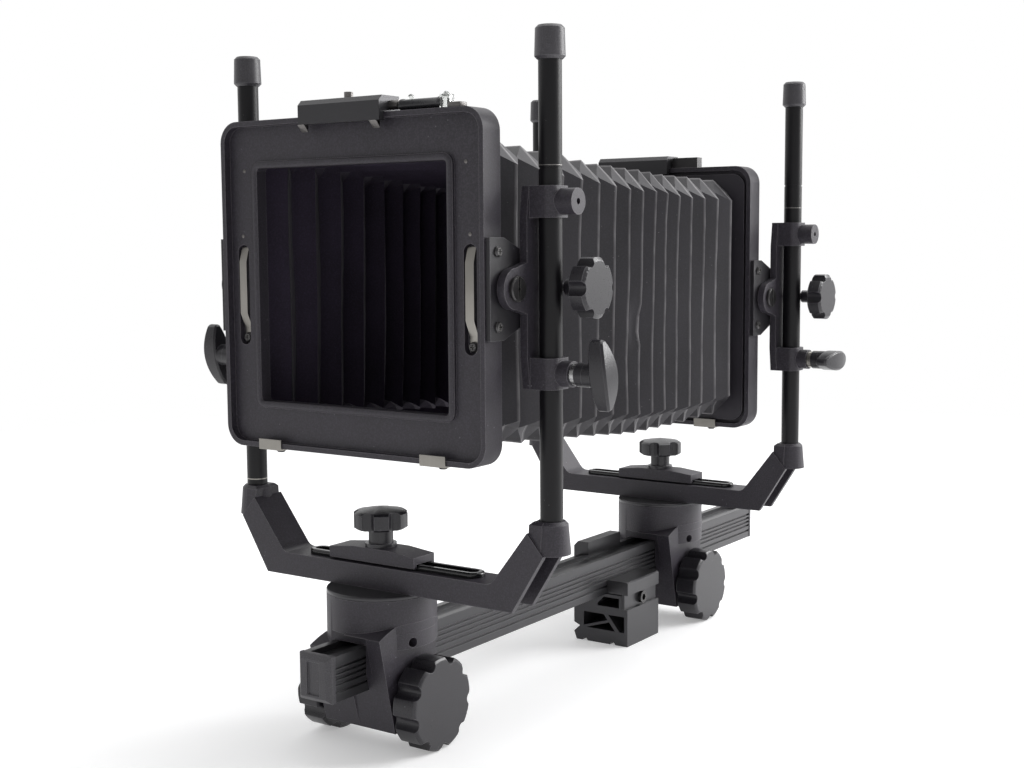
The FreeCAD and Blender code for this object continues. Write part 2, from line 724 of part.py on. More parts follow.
def make_shift_knob(standard):
    """Lobed knob with a stem and a flange, screwed on the clamp stud."""
    stem_z = shift_flange_height
    knob_z = stem_z + shift_stem_height
    top = knob_z + shift_knob_height
    r = shift_knob_radius
    stem, flange = shift_stem_radius, shift_flange_radius
    knob = turned([(0, 0), (flange, 0), (flange, stem_z), (stem, stem_z), (stem, knob_z),
                   (r - knob_edge, knob_z), (r, knob_z + knob_edge), (r, top - knob_edge),
                   (r - knob_edge, top), (0, top + shift_knob_dome)], V(0, 0, 0), Z_AXIS)
    cuts = ring_of_cuts(shift_knob_lobes, r + shift_knob_groove_offset, shift_knob_groove,
                        knob_z, top + shift_knob_dome)
    bore = Part.makeCylinder(stud_radius + running, knob_z + stud_grip + slide_gap)
    part = knob.cut(cuts + [bore])
    part.rotate(V(0, 0, 0), Z_AXIS, shift_knob_turn)
    part.translate(V(0, standard.y, clamp_top_z + running))
    return part


# ---- yoke and rods ----
def yoke_outline():
    """Right half of the U's outline in the XZ plane."""
    heel, toe = (rod_x - yoke_heel_to_rod, disc_top_z), (rod_x + yoke_toe_past_rod, socket_bottom_z)
    neck, corner = (rod_x - yoke_neck_to_rod, yoke_neck_z), (yoke_inner_half_length, yoke_top_z)
    return [(0, disc_top_z), heel, toe, neck, corner, (0, yoke_top_z)]


def yoke_hollow_outline():
    """Right half of the hollow under the U's web, open below and outwards."""
    lean = math.atan2(yoke_neck_z - yoke_top_z, rod_x - yoke_neck_to_rod - yoke_inner_half_length)
    web_x = yoke_inner_half_length + yoke_web / math.sin(lean)
    rise = socket_bottom_z - yoke_top_z
    corner = yoke_inner_half_length + yoke_web * math.tan(lean / 2)
    clear = rod_x + yoke_depth
    return [(0, disc_top_z - past), (clear, disc_top_z - past), (clear, socket_bottom_z),
            (web_x + rise / math.tan(lean), socket_bottom_z), (corner, yoke_top_z - yoke_web),
            (0, yoke_top_z - yoke_web)]


def full_outline(half, y):
    """Mirror a half outline about X = 0 into closed corner points at a depth."""
    right = [(x, y, z) for x, z in half]
    left = [(-x, y, z) for x, z in reversed(half[1:-1])]
    return right + left


def make_rod_socket():
    """Right-hand socket at the top of an arm: round outside, square towards the middle."""
    height = socket_top_z - socket_bottom_z
    barrel = turned([(0, 0), (socket_bottom_radius, 0), (socket_top_radius, height - socket_edge),
                     (socket_top_radius - socket_edge, height), (0, height)],
                    V(rod_x, 0, socket_bottom_z), Z_AXIS)
    inner_x = rod_x - socket_block_to_rod
    rings = []
    for z, half in ((socket_bottom_z, socket_block_low), (socket_top_z, socket_block_high)):
        corners = [V(inner_x, -half, z), V(rod_x, -half, z), V(rod_x, half, z), V(inner_x, half, z)]
        rings.append(Part.makePolygon(corners + corners[:1]))
    block = Part.makeLoft(rings, True, True)
    top = [e for e in block.Edges
           if abs(e.BoundBox.ZMin - socket_top_z) < 0.01 and e.BoundBox.XMin < rod_x - edge_reach]
    return barrel.fuse(block.makeChamfer(socket_edge, top))


def make_yoke(standard):
    """Die-cast U with channel-section bar and arms, a slot and two rod sockets."""
    half = yoke_depth / 2
    body = prism(full_outline(yoke_outline(), -half), V(0, yoke_depth, 0))
    inner = [e for e in body.Edges if abs(e.tangentAt(0).y) > 0.9
             and abs(e.BoundBox.Center.z - yoke_top_z) < 0.01]
    body = body.makeFillet(yoke_inner_fillet, inner)
    hollow_half = half - yoke_wall
    hollow = prism(full_outline(yoke_hollow_outline(), -hollow_half), V(0, 2 * hollow_half, 0))
    ribs = [box(x - yoke_rib / 2, x + yoke_rib / 2, -half, half, disc_top_z, yoke_top_z)
            for x in (-yoke_inner_half_length, yoke_inner_half_length)]
    body = body.cut(hollow.cut(ribs))
    socket = make_rod_socket()
    bores = [Part.makeCylinder(rod_radius, rod_cap_top_z - rod_foot_z, V(x, 0, rod_foot_z))
             for x in (-rod_x, rod_x)]
    slot = stadium(liner_half_length - liner_wall, liner_width - 2 * liner_wall,
                   disc_top_z, yoke_top_z + past)
    body = body.fuse([socket, mirrored(socket)]).cut(bores + [slot])
    body.translate(V(standard.shift, standard.y, 0))
    return body


def make_rods(standard):
    """Two round rods with an index ring turned in each."""
    top = rod_cap_top_z - rod_cap_wall_top
    inner = rod_radius - index_ring_depth
    ring_low, ring_high = index_ring_z - index_ring_width / 2, index_ring_z + index_ring_width / 2
    profile = [(0, rod_foot_z), (rod_radius, rod_foot_z), (rod_radius, ring_low), (inner, ring_low),
               (inner, ring_high), (rod_radius, ring_high), (rod_radius, top), (0, top)]
    return Part.makeCompound([turned(profile, V(standard.shift + x, standard.y, 0), Z_AXIS)
                              for x in (-rod_x, rod_x)])


def make_rod_caps(standard):
    """Slightly flared caps that stop the brackets from sliding off."""
    z0, top = rod_cap_top_z - rod_cap_height, rod_cap_top_z
    low = rod_cap_radius + rod_cap_flare
    edge, inner_top = rod_cap_edge, top - rod_cap_wall_top
    profile = [(rod_radius, z0), (low - edge, z0), (low, z0 + edge), (rod_cap_radius, top - edge),
               (rod_cap_radius - edge, top), (0, top), (0, inner_top), (rod_radius, inner_top)]
    return Part.makeCompound([turned(profile, V(standard.shift + x, standard.y, 0), Z_AXIS)
                              for x in (-rod_x, rod_x)])


# ---- brackets, studs and lock knobs ----
def tilt_place(standard):
    """Where a frame's tilt axis crosses the middle of its standard."""
    return V(standard.shift, standard.y, standard.centre_z)


def bracket_barrel(height, length):
    """Round barrel of an arm, out from the rod's axis at a height above the tilt axis."""
    return rod(barrel_radius, V(rod_x, 0, height), V(rod_x + length, 0, height))


def bracket_arm(z0, z1):
    """Clamping arm round the rod between two heights."""
    arm = box(bracket_inner_x, arm_outer_x, -bracket_arm_half_depth, bracket_arm_half_depth, z0, z1)
    outer = [e for e in arm.Edges
             if abs(e.tangentAt(0).z) > 0.9 and e.BoundBox.Center.x > arm_outer_x - edge_reach]
    return arm.makeFillet(bracket_arm_fillet, outer)


def bracket_bar():
    """Flat bar beside the frame with the lug for the tilt pivot."""
    x0, h, arm_root = bracket_inner_x, bracket_half_height, bracket_half_height - bracket_arm_height
    upper = [(-bracket_arm_half_depth, h), (bracket_end_rear_y, h), (bracket_rear_y, arm_root)]
    lower = [(bracket_rear_y, -arm_root), (bracket_end_rear_y, -h), (-bracket_arm_half_depth, -h)]
    front = [(bracket_front_y, -arm_root), (bracket_front_y, arm_root)]
    along = V(bracket_bar_thickness, 0, 0)
    bar = prism([(x0, y, z) for y, z in upper + lower + front], along)
    root_y, root = bracket_front_y + lug_overlap, lug_root_half_height
    lug = prism([(x0, root_y, root), (x0, root_y, -root), (x0, pivot_y, -lug_radius),
                 (x0, pivot_y, lug_radius)], along)
    return bar.fuse([lug, rod(lug_radius, V(x0, pivot_y, 0), V(bracket_outer_x, pivot_y, 0))])


def make_bracket():
    """Right-hand bracket: a bar with two clamped arms round the rod and a lug for the tilt pivot."""
    h, arm_root = bracket_half_height, bracket_half_height - bracket_arm_height
    body = bracket_bar().fuse([bracket_arm(arm_root, h), bracket_arm(-h, -arm_root),
                               bracket_barrel(barrel_height, upper_barrel_length),
                               bracket_barrel(-barrel_height, lower_barrel_length)])
    upper_end, lower_end = rod_x + upper_barrel_length, rod_x + lower_barrel_length
    inner, outer = bracket_inner_x - past, bracket_outer_x + past
    cuts = [rod(rod_radius + running, V(rod_x, 0, -h - past), V(rod_x, 0, h + past)),
            rod(pivot_shank_radius + running, V(inner, pivot_y, 0), V(outer, pivot_y, 0)),
            rod(barrel_socket_radius, V(upper_end - barrel_socket_depth, 0, barrel_height),
                V(upper_end + past, 0, barrel_height)),
            rod(lock_stud_radius, V(lock_stud_start(), 0, -barrel_height),
                V(lower_end + past, 0, -barrel_height))]
    return body.cut(cuts)


def lock_stud_start():
    """Inner end of a rise lock's stud, just clear of the rod."""
    return rod_x + rod_radius + stud_rod_gap


def tilt_bolt_hole():
    """The hole for the tilt bolt, on the right side only."""
    start = V(bracket_inner_x - past, tilt_bolt_y, 0)
    return rod(tilt_bolt_radius, start, start + X_AXIS * (bracket_bar_thickness + 2 * past))


def make_right_bracket(standard):
    """Bracket on the side of the tilt knob."""
    part = make_bracket().cut(tilt_bolt_hole())
    part.translate(tilt_place(standard))
    return part


def make_left_bracket(standard):
    """Mirror image of the right bracket, without a tilt bolt."""
    part = mirrored(make_bracket())
    part.translate(tilt_place(standard))
    return part


def make_lock_studs(standard):
    """Fixed studs that the lock knobs turn on: two collared ones for rise and one for tilt."""
    z = -barrel_height
    collar_x = rod_x + lower_barrel_length
    collar = rod(lock_collar_radius, V(collar_x, 0, z), V(collar_x + lock_collar_length, 0, z))
    stud = rod(lock_stud_radius, V(lock_stud_start(), 0, z), V(rod_x + lock_stud_length, 0, z)).fuse(collar)
    face_x = plate_inner_x - slide_gap
    head_x = face_x - tilt_bolt_head_height
    bolt_end = rod_x + tilt_knob_past_rod + tilt_knob_thickness - tilt_bolt_cover
    head = rod(tilt_bolt_head_radius, V(head_x, tilt_bolt_y, 0), V(face_x, tilt_bolt_y, 0))
    bolt = rod(tilt_bolt_radius, V(head_x, tilt_bolt_y, 0), V(bolt_end, tilt_bolt_y, 0))
    part = Part.makeCompound([stud, mirrored(stud), head.fuse(bolt)])
    part.translate(tilt_place(standard))
    return part


def make_tilt_knob(standard):
    """Lobed knob with a stem, on the tilt bolt."""
    r, t, stem = tilt_knob_radius, tilt_knob_thickness, tilt_stem_radius
    knob = turned([(0, -tilt_stem_length), (stem, -tilt_stem_length), (stem, 0), (r - knob_edge, 0),
                   (r, knob_edge), (r, t - knob_edge), (r - knob_edge, t), (0, t)], V(0, 0, 0), Z_AXIS)
    cuts = ring_of_cuts(tilt_knob_lobes, r + tilt_knob_groove_offset, tilt_knob_groove, 0, t)
    bore = Part.makeCylinder(tilt_bolt_radius + running, tilt_stem_length + t - tilt_bolt_cover + slide_gap,
                             V(0, 0, -tilt_stem_length))
    knob = knob.cut(cuts + [bore])
    knob.rotate(V(0, 0, 0), Z_AXIS, tilt_knob_turn)
    place = tilt_place(standard) + V(rod_x + tilt_knob_past_rod, tilt_bolt_y, 0)
    return on_x_axis(knob, place.x, place.y, place.z)


def bowed_blade(ends, bow, along):
    """A plate with straight ends and two bowed sides; ends are its corners, bow the middle of each side."""
    a, b, c, d = ends
    sides = [Part.Arc(a, bow[0], b).toShape(), Part.LineSegment(b, c).toShape(),
             Part.Arc(c, bow[1], d).toShape(), Part.LineSegment(d, a).toShape()]
    return Part.Face(Part.Wire(sides)).extrude(along)


def make_wing_knob():
    """Right-hand wing knob: a round neck and a paddle that is widest in the middle."""
    root_x = wing_start_x
    neck_x = root_x + wing_neck_length
    h, tip, half = wing_half_height, wing_tip_half_width, wing_half_width
    side = Part.Face(Part.Wire([
        Part.Arc(V(neck_x + wing_tip, -half, h), V(neck_x + wing_crown, -half, 0),
                 V(neck_x + wing_tip, -half, -h)).toShape(),
        Part.makePolygon([V(neck_x + wing_tip, -half, -h), V(neck_x, -half, -h), V(neck_x, -half, h),
                          V(neck_x + wing_tip, -half, h)])])).extrude(V(0, 2 * half, 0))
    lens = bowed_blade([V(neck_x, tip, -h), V(neck_x, tip, h), V(neck_x, -tip, h), V(neck_x, -tip, -h)],
                       [V(neck_x, half, 0), V(neck_x, -half, 0)], X_AXIS * (wing_crown + past))
    paddle = side.common(lens)
    paddle = paddle.makeChamfer(wing_edge, paddle.Edges)
    neck = rod(wing_neck_radius, V(root_x, 0, 0), V(neck_x + wing_edge, 0, 0))
    bore_end = rod_x + lock_stud_length + wing_cover
    bore = rod(lock_stud_radius + running, V(root_x - past, 0, 0), V(bore_end, 0, 0))
    return paddle.fuse(neck).cut(bore)


def place_wing_knob(standard, side):
    """Put a wing knob on its stud, turned as it was left."""
    knob = make_wing_knob()
    knob.rotate(V(0, 0, 0), X_AXIS, standard.wing_angle)
    if side < 0:
        knob = mirrored(knob)
    knob.translate(tilt_place(standard) - Z_AXIS * barrel_height)
    return knob


# ---- frame and what is screwed to it ----
def make_frame(standard):
    """Square frame: a lip round the board recess, a ribbed opening and a recess behind."""
    body = rounded_slab(frame_size, frame_size, frame_corner, frame_front_y, frame_back_y)
    recess_size = frame_size - 2 * frame_lip
    recess_corner = frame_corner - frame_lip
    front = rounded_slab(recess_size, recess_size, recess_corner, frame_front_y - past, panel_front_y)
    rear = rounded_slab(recess_size, recess_size, recess_corner, panel_back_y, frame_back_y + past)
    rib_size = opening_width + 2 * rib_width, opening_height + 2 * rib_width
    rib = rounded_slab(*rib_size, opening_corner + rib_width, panel_front_y - rib_height, panel_front_y)
    opening = rounded_slab(opening_width, opening_height, opening_corner,
                           frame_front_y - past, frame_back_y + past)
    body = body.cut([front, rear]).fuse(rib).cut(opening)
    slot_height = spring_slot_top - spring_slot_bottom
    slot_middle = (spring_slot_top + spring_slot_bottom) / 2
    cuts = [rounded_slab(spring_slot_width, slot_height, spring_slot_width / 2 - 0.1, panel_front_y - past,
                         panel_front_y + spring_slot_depth, x, slot_middle) for x in (-spring_x, spring_x)]
    cuts += [screw_hole(*place) for place in frame_screw_places()]
    body = body.cut(cuts)
    body.translate(tilt_place(standard))
    return body


def spring_screw_z():
    """Height of the screw at the lower end of each leaf spring."""
    return spring_slot_bottom + spring_slot_width / 2


def frame_screw_places():
    """Seat and outward direction of each screw in the frame, with its length."""
    places = []
    for side in (-1, 1):
        for z in (-plate_screw_z, plate_screw_z):
            places.append((V(side * plate_outer_x, plate_screw_y, z), X_AXIS * side, screw_length))
        spring_seat = panel_front_y + spring_slot_depth - spring_thickness
        bite = spring_screw_bite + spring_thickness
        places.append((V(side * spring_x, spring_seat, spring_screw_z()), -Y_AXIS, bite))
        clip_seat = -frame_half - clip_thickness
        screw_x = side * clip_x + clip_screw_offset
        places.append((V(screw_x, frame_front_y + clip_return / 2, clip_seat), -Z_AXIS, clip_screw_length))
    return places


def make_frame_screws(standard):
    """All cross-head screws of one frame as separate solids."""
    part = Part.makeCompound([pan_screw(*place) for place in frame_screw_places()])
    part.translate(tilt_place(standard))
    return part


def make_leaf_spring(rise):
    """Bent strip in its slot; rise is how far its middle stands out, 0 when a board presses it flat."""
    seat = panel_front_y + spring_slot_depth
    margin = (spring_slot_width - spring_width) / 2
    low, high = spring_slot_bottom + margin, spring_slot_top - margin
    bend = spring_bend
    t = spring_thickness
    front = [(seat - t, low), (seat - t, low + bend), (seat - t - rise, low + 2 * bend),
             (seat - t - rise, high - bend), (seat - t - rise / 3, high)]
    back = [(y + t, z) for y, z in reversed(front)]
    points = [(-spring_width / 2, y, z) for y, z in front + back]
    strip = prism(points, V(spring_width, 0, 0))
    strip.translate(V(spring_x, 0, 0))
    return strip.cut(screw_hole(V(spring_x, seat - t, spring_screw_z()), -Y_AXIS))


def make_clip(x):
    """Sheet clip hooked over the frame's lower lip."""
    y0, y1 = frame_front_y - clip_thickness, frame_front_y
    z0 = -frame_half - clip_thickness
    tab = box(x - clip_width / 2, x + clip_width / 2, y0, y1, z0, -frame_half + clip_overlap)
    foot = box(x - clip_width / 2, x + clip_width / 2, y0, y0 + clip_return, z0, -frame_half)
    return tab.fuse(foot)


def make_frame_springs(standard):
    """Leaf springs and board clips."""
    spring = make_leaf_spring(standard.spring_rise)
    holes = [screw_hole(*place) for place in frame_screw_places()]
    clips = [make_clip(x).cut(holes) for x in (-clip_x, clip_x)]
    part = Part.makeCompound([spring, mirrored(spring)] + clips)
    part.translate(tilt_place(standard))
    return part


def make_side_plates(standard):
    """Tilt plates on the frame's sides, each with an arc slot round the pivot."""
    x0, x1 = plate_inner_x, plate_outer_x
    upper = [(frame_front_y + plate_inset, plate_front_half_height),
             (plate_shoulder_y, plate_front_half_height),
             (plate_neck_y, plate_neck_half_height), (plate_tail_y, plate_tail_half_height)]
    lower = [(y, -z) for y, z in reversed(upper)]
    plate = prism([(x0, y, z) for y, z in upper + lower], V(x1 - x0, 0, 0))
    tail = [e for e in plate.Edges
            if abs(e.tangentAt(0).x) > 0.9 and e.BoundBox.Center.y > plate_tail_y - edge_reach]
    plate = plate.makeFillet(plate_tail_corner, tail)
    width = tilt_bolt_radius + slide_gap
    start = V(x0 - past, pivot_y, 0)
    outer = Part.makeCylinder(slot_arc_radius + width, x1 - x0 + 2 * past, start, X_AXIS)
    inner = Part.makeCylinder(slot_arc_radius - width, x1 - x0 + 2 * past, start, X_AXIS)
    reach = 2 * slot_arc_radius
    spread = math.tan(tilt_range) * reach
    far = pivot_y + reach
    wedge = prism([(x0 - past, pivot_y, 0), (x0 - past, far, -spread), (x0 - past, far, spread)],
                  V(x1 - x0 + 2 * past, 0, 0))
    slot = outer.cut(inner).common(wedge)
    ends = []
    for sign in (-1, 1):
        y = pivot_y + slot_arc_radius * math.cos(tilt_range)
        z = sign * slot_arc_radius * math.sin(tilt_range)
        ends.append(rod(width, V(x0 - past, y, z), V(x1 + past, y, z)))
    holes = [screw_hole(*place) for place in frame_screw_places()]
    pivot_hole = rod(pivot_shank_radius, V(x0 - past, pivot_y, 0), V(x1 + past, pivot_y, 0))
    plate = plate.cut([slot, pivot_hole] + ends + holes)
    part = both_sides(plate)
    part.translate(tilt_place(standard))
    return part


def make_pivot_screws(standard):
    """Coin-slotted pivot screws, fixed in the plates and turning in the brackets' lugs."""
    head_x = bracket_outer_x + running
    shank = rod(pivot_shank_radius, V(plate_inner_x, pivot_y, 0), V(head_x, pivot_y, 0))
    r, height, edge = pivot_head_radius, pivot_head_height, pivot_head_edge
    head = turned([(0, 0), (r, 0), (r, height - edge), (r - edge, height), (0, height)],
                  V(head_x, pivot_y, 0), X_AXIS)
    top, half = head_x + height, coin_slot_width / 2
    slot = box(top - coin_slot_depth, top + past, pivot_y - half, pivot_y + half, -r - past, r + past)
    eye = rod(pivot_eye_radius, V(top - pivot_eye_depth, pivot_y, 0), V(top + past, pivot_y, 0))
    part = both_sides(head.fuse(shank).cut([slot, eye]))
    part.translate(tilt_place(standard))
    return part


def make_lock_bar(standard):
    """Board lock on the frame's top: a bevelled bar with an apron and two hooks."""
    z0, z1 = frame_half + slide_gap, frame_half + slide_gap + lock_height
    apron_y = frame_front_y - slide_gap
    section = [(lock_front_y, frame_half - lock_apron), (lock_front_y, z1 - lock_bevel),
               (lock_front_y + lock_bevel, z1), (lock_rear_y, z1), (lock_rear_y, z0),
               (apron_y, z0), (apron_y, frame_half - lock_apron)]
    bar = prism([(-lock_half_length, y, z) for y, z in section], V(2 * lock_half_length, 0, 0))
    z_hook = frame_half - lock_apron
    hooks = [box(x + hook_shift - hook_width / 2, x + hook_shift + hook_width / 2, apron_y - hook_thickness,
                 apron_y, z_hook - hook_drop, z_hook) for x in (-hook_x, hook_x)]
    bar = bar.fuse(hooks).cut([through_rod(), lock_pin()])
    bar.translate(tilt_place(standard))
    return bar


def through_rod():
    """The bright rod through the lock bar."""
    z = frame_half + slide_gap + lock_rod_height
    return rod(lock_rod_radius, V(lock_rod_left, lock_rod_y, z), V(lock_rod_right, lock_rod_y, z))


def lock_pin():
    """The short pin that stands on the lock bar."""
    z, y = frame_half + slide_gap + lock_height, lock_rod_y - lock_pin_offset
    return rod(lock_pin_radius, V(0, y, z - lock_pin_seat), V(0, y, z + lock_pin_height))


def make_lock_rod(standard):
    """Bright rod of the board lock, with its pin in front or its end block behind."""
    if standard is FRONT:
        part = Part.makeCompound([through_rod(), lock_pin()])
    else:
        y0, y1 = lock_rod_y - lock_block_half_depth, lock_rod_y + lock_block_half_depth
        z0 = frame_half + slide_gap
        part = through_rod().fuse(box(lock_block_start, lock_block_end, y0, y1, z0, z0 + lock_block_height))
    part.translate(tilt_place(standard))
    return part


def make_spirit_level(standard):
    """Tubular level on the frame's top: a sleeve and a clear end block with a wedge."""
    left = lock_rod_right + level_gap
    right = left + level_length
    z, y0, y1 = frame_half + level_radius, lock_rod_y - level_radius, lock_rod_y + level_radius
    tube = rod(level_radius, V(left, lock_rod_y, z), V(right, lock_rod_y, z))
    end = right + level_end_length
    top = frame_half + 2 * level_radius
    outline = [(right, y0, frame_half), (end + level_wedge_length, y0, frame_half), (end, y0, z),
               (end, y0, top), (right, y0, top)]
    part = Part.makeCompound([tube, prism(outline, V(0, y1 - y0, 0))])
    part.translate(tilt_place(standard))
    return part


# ---- bellows ----
def bellows_end(standard, behind_panel):
    """Centre of a bellows end: behind the front frame's panel, or in the rear frame's recess."""
    if behind_panel:
        return tilt_place(standard) + Y_AXIS * (panel_back_y + bellows_board_thickness)
    return tilt_place(standard) + Y_AXIS * (panel_front_y - bellows_board_thickness)


def make_bellows_board(standard, y0):
    """Flat board that an end of the bellows is glued to."""
    y1 = y0 + bellows_board_thickness
    board = rounded_slab(lens_board_size, lens_board_size, bellows_board_corner, y0, y1)
    hole_size = 2 * (valley_half - bellows_board_lap)
    board = board.cut(rounded_slab(hole_size, hole_size, bellows_board_lap, y0 - past, y1 + past))
    board.translate(tilt_place(standard))
    return board


def fold_section(centre, half, top_chamfer, bottom_chamfer):
    """Eight corners of one ridge or valley, in order round the bellows."""
    top, bottom = half - top_chamfer, half - bottom_chamfer
    ring = [(half, -bottom), (half, top), (top, half), (-top, half),
            (-half, top), (-half, -bottom), (-bottom, -half), (bottom, -half)]
    return [centre + V(x, 0, z) for x, z in ring]


def fold_places():
    """Fractions of the bellows' length at which valleys and ridges lie, in turn."""
    steps = 2 * fold_count
    places = []
    for i in range(steps + 1):
        t = i / steps
        squeeze = fold_squeeze / (2 * math.pi) * math.sin(2 * math.pi * t)
        places.append(t + squeeze + fold_lag * math.sin(math.pi * t) ** 2)
    return places


def pleated_solid(inset):
    """Closed pleated box, smaller all round by inset."""
    start, end = bellows_end(FRONT, True), bellows_end(REAR, False)
    sections = []
    for i, t in enumerate(fold_places()):
        centre = start + (end - start) * t - Z_AXIS * fold_sag * math.sin(math.pi * t)
        if i % 2:
            sections.append(fold_section(centre, ridge_half - inset, ridge_top_chamfer,
                                         ridge_bottom_chamfer))
        else:
            sections.append(fold_section(centre, valley_half - inset, valley_chamfer, valley_chamfer))
    faces = [Part.Face(Part.makePolygon(s + s[:1])) for s in (sections[0], sections[-1])]
    for a, b in zip(sections, sections[1:]):
        for j in range(len(a)):
            k = (j + 1) % len(a)
            for triangle in ([a[j], a[k], b[k]], [a[j], b[k], b[j]]):
                faces.append(Part.Face(Part.makePolygon(triangle + triangle[:1])))
    return Part.Solid(Part.Shell(faces)).removeSplitter()


def make_bellows():
    """Pleated square bellows, open at both ends."""
    outer, inner = pleated_solid(0), pleated_solid(bellows_wall)
    return outer.cut(inner)


# ---- tripod block ----
def web(x0, z0, x1, z1, thickness):
    """A straight web of the tripod block between two points of its section."""
    lean = V(z1 - z0, 0, x0 - x1).normalize() * (thickness / 2)
    corners = [V(x0, 0, z0) - lean, V(x1, 0, z1) - lean, V(x1, 0, z1) + lean, V(x0, 0, z0) + lean]
    return prism([(p.x, -block_length, p.z) for p in corners], V(0, 2 * block_length, 0))


def truss_openings():
    """The openings through the extruded tripod block: an upper hall, and a lower one with two webs."""
    half = block_length / 2 + past
    attic = prism([(attic_left_x, -half, attic_floor_z), (attic_right_x, -half, attic_floor_z),
                   (attic_right_x, -half, attic_roof_z), (attic_left_x + attic_bevel, -half, attic_roof_z),
                   (attic_left_x, -half, attic_roof_z - attic_bevel)], V(0, 2 * half, 0))
    hall = box(hall_left_x, hall_right_x, -half, half, hall_floor_z, hall_roof_z)
    strut = web(strut_top_x, hall_roof_z + past, strut_foot_x, hall_floor_z - past, strut_thickness)
    brace_x = (strut_top_x + strut_foot_x) / 2
    brace = web(hall_left_x - past, hall_floor_z, brace_x, (hall_floor_z + hall_roof_z) / 2 + brace_thickness,
                brace_thickness)
    return [attic, hall.cut([strut, brace])]


def make_tripod_block():
    """Extruded block under the rail: truss section, a hooked wall on the left and a ledge for the jaw."""
    y0 = -block_length / 2
    wall_x = -rail_width / 2 - slide_gap
    outer_x = wall_x - block_wall
    top, hook_z = rail_bottom_z - block_top_gap, rail_top_z + slide_gap
    hook_top, edge = hook_z + block_hook_height, block_hook_edge
    outline = [(block_left_x, 0), (block_right_x, 0), (block_right_x, block_ledge_z),
               (block_post_x, block_ledge_z), (block_post_x, top), (wall_x, top), (wall_x, hook_z),
               (wall_x + block_hook_reach, hook_z),
               (wall_x + block_hook_reach, hook_top), (outer_x + edge, hook_top), (outer_x, hook_top - edge),
               (outer_x, notch_high_z), (outer_x + notch_depth, notch_middle_z), (outer_x, notch_low_z)]
    body = prism([(x, y0, z) for x, z in outline], V(0, block_length, 0))
    cuts = truss_openings()
    cuts += [rod(groove_radius, V(x, y0 - past, 0), V(x, -y0 + past, 0))
             for x in (groove_left_x, groove_right_x)]
    cuts.append(Part.makeCylinder(socket_radius, socket_depth))
    start = V(block_post_x - jaw_bolt_bite - running, 0, jaw_bolt_z)
    end = V(block_post_x + past, 0, jaw_bolt_z)
    cuts.append(rod(jaw_bolt_radius + running, start, end))
    return body.cut(cuts)


def make_jaw():
    """Loose jaw on the block's ledge that grips the rail's right side."""
    y0 = -block_length / 2
    z0, z1 = block_ledge_z + seat_play, rail_bottom_z + jaw_height_over_rail
    grip_x, leg_x = rail_width / 2 + seat_play, block_post_x + seat_play
    under, edge = rail_bottom_z + jaw_lift, jaw_edge
    outline = [(leg_x, z0), (leg_x + jaw_leg_thickness, z0), (leg_x + jaw_leg_thickness, under),
               (jaw_right_x, under), (jaw_right_x, z1 - edge), (jaw_right_x - edge, z1), (grip_x + edge, z1),
               (grip_x, z1 - edge), (grip_x, under), (leg_x, under)]
    body = prism([(x, y0, z) for x, z in outline], V(0, block_length, 0))
    hole = rod(jaw_bolt_radius + running, V(block_post_x, 0, jaw_bolt_z), V(jaw_right_x, 0, jaw_bolt_z))
    return body.cut(hole)


def make_jaw_bolt():
    """Socket-head bolt that draws the jaw to the rail."""
    head_x = block_post_x + seat_play + jaw_leg_thickness + running
    outer_x = head_x + jaw_bolt_head_height
    shank = rod(jaw_bolt_radius, V(block_post_x - jaw_bolt_bite, 0, jaw_bolt_z), V(head_x, 0, jaw_bolt_z))
    head = rod(jaw_bolt_head_radius, V(head_x, 0, jaw_bolt_z), V(outer_x, 0, jaw_bolt_z))
    key = hexagon(jaw_key, V(outer_x - jaw_key_depth, 0, jaw_bolt_z), V(outer_x, 0, jaw_bolt_z))
    return head.fuse(shank).cut(key)


# ---- write everything ----
def standard_pieces(standard):
    """Every node of one standard, by name."""
    prefix = standard.name + "_"
    makers = {"carriage": make_carriage, "set_screws": make_set_screws, "pinion_shaft": make_pinion_shaft,
              "focus_knob": make_focus_knob, "focus_lock_knob": make_focus_lock_knob,
              "swing_disc": make_swing_disc, "clamp_plate": make_clamp_plate, "shift_knob": make_shift_knob,
              "yoke": make_yoke, "slot_liner": make_slot_liner, "rods": make_rods, "rod_caps": make_rod_caps,
              "bracket_left": make_left_bracket, "bracket_right": make_right_bracket,
              "lock_studs": make_lock_studs, "tilt_knob": make_tilt_knob, "frame": make_frame,
              "frame_screws": make_frame_screws, "frame_springs": make_frame_springs,
              "side_plates": make_side_plates, "pivot_screws": make_pivot_screws,
              "lock_bar": make_lock_bar, "lock_rod": make_lock_rod}
    pieces = {prefix + name: maker(standard) for name, maker in makers.items()}
    pieces[prefix + "wing_knob_left"] = place_wing_knob(standard, -1)
    pieces[prefix + "wing_knob_right"] = place_wing_knob(standard, 1)
    return pieces


def all_pieces():
    """Every node of the camera, by name."""
    pieces = {"rail": make_rail(), "rail_end_caps": make_end_caps(), "focus_rack": make_rack(),
              "tripod_block": make_tripod_block(), "tripod_jaw": make_jaw(),
              "tripod_jaw_bolt": make_jaw_bolt(),
              "front_spirit_level": make_spirit_level(FRONT),
              "bellows_front_board": make_bellows_board(FRONT, panel_back_y),
              "bellows_rear_board": make_bellows_board(REAR, panel_front_y - bellows_board_thickness),
              "bellows": make_bellows()}
    for standard in (FRONT, REAR):
        pieces.update(standard_pieces(standard))
    return pieces


os.makedirs("parts", exist_ok=True)
for node, shape in all_pieces().items():
    assert shape.isValid() and shape.Volume > 0, node
    shape.exportStep(f"parts/{node}.step")
    print(f"{node}: {len(shape.Solids)} solid(s), {shape.Volume / 1000:.2f} cm3")
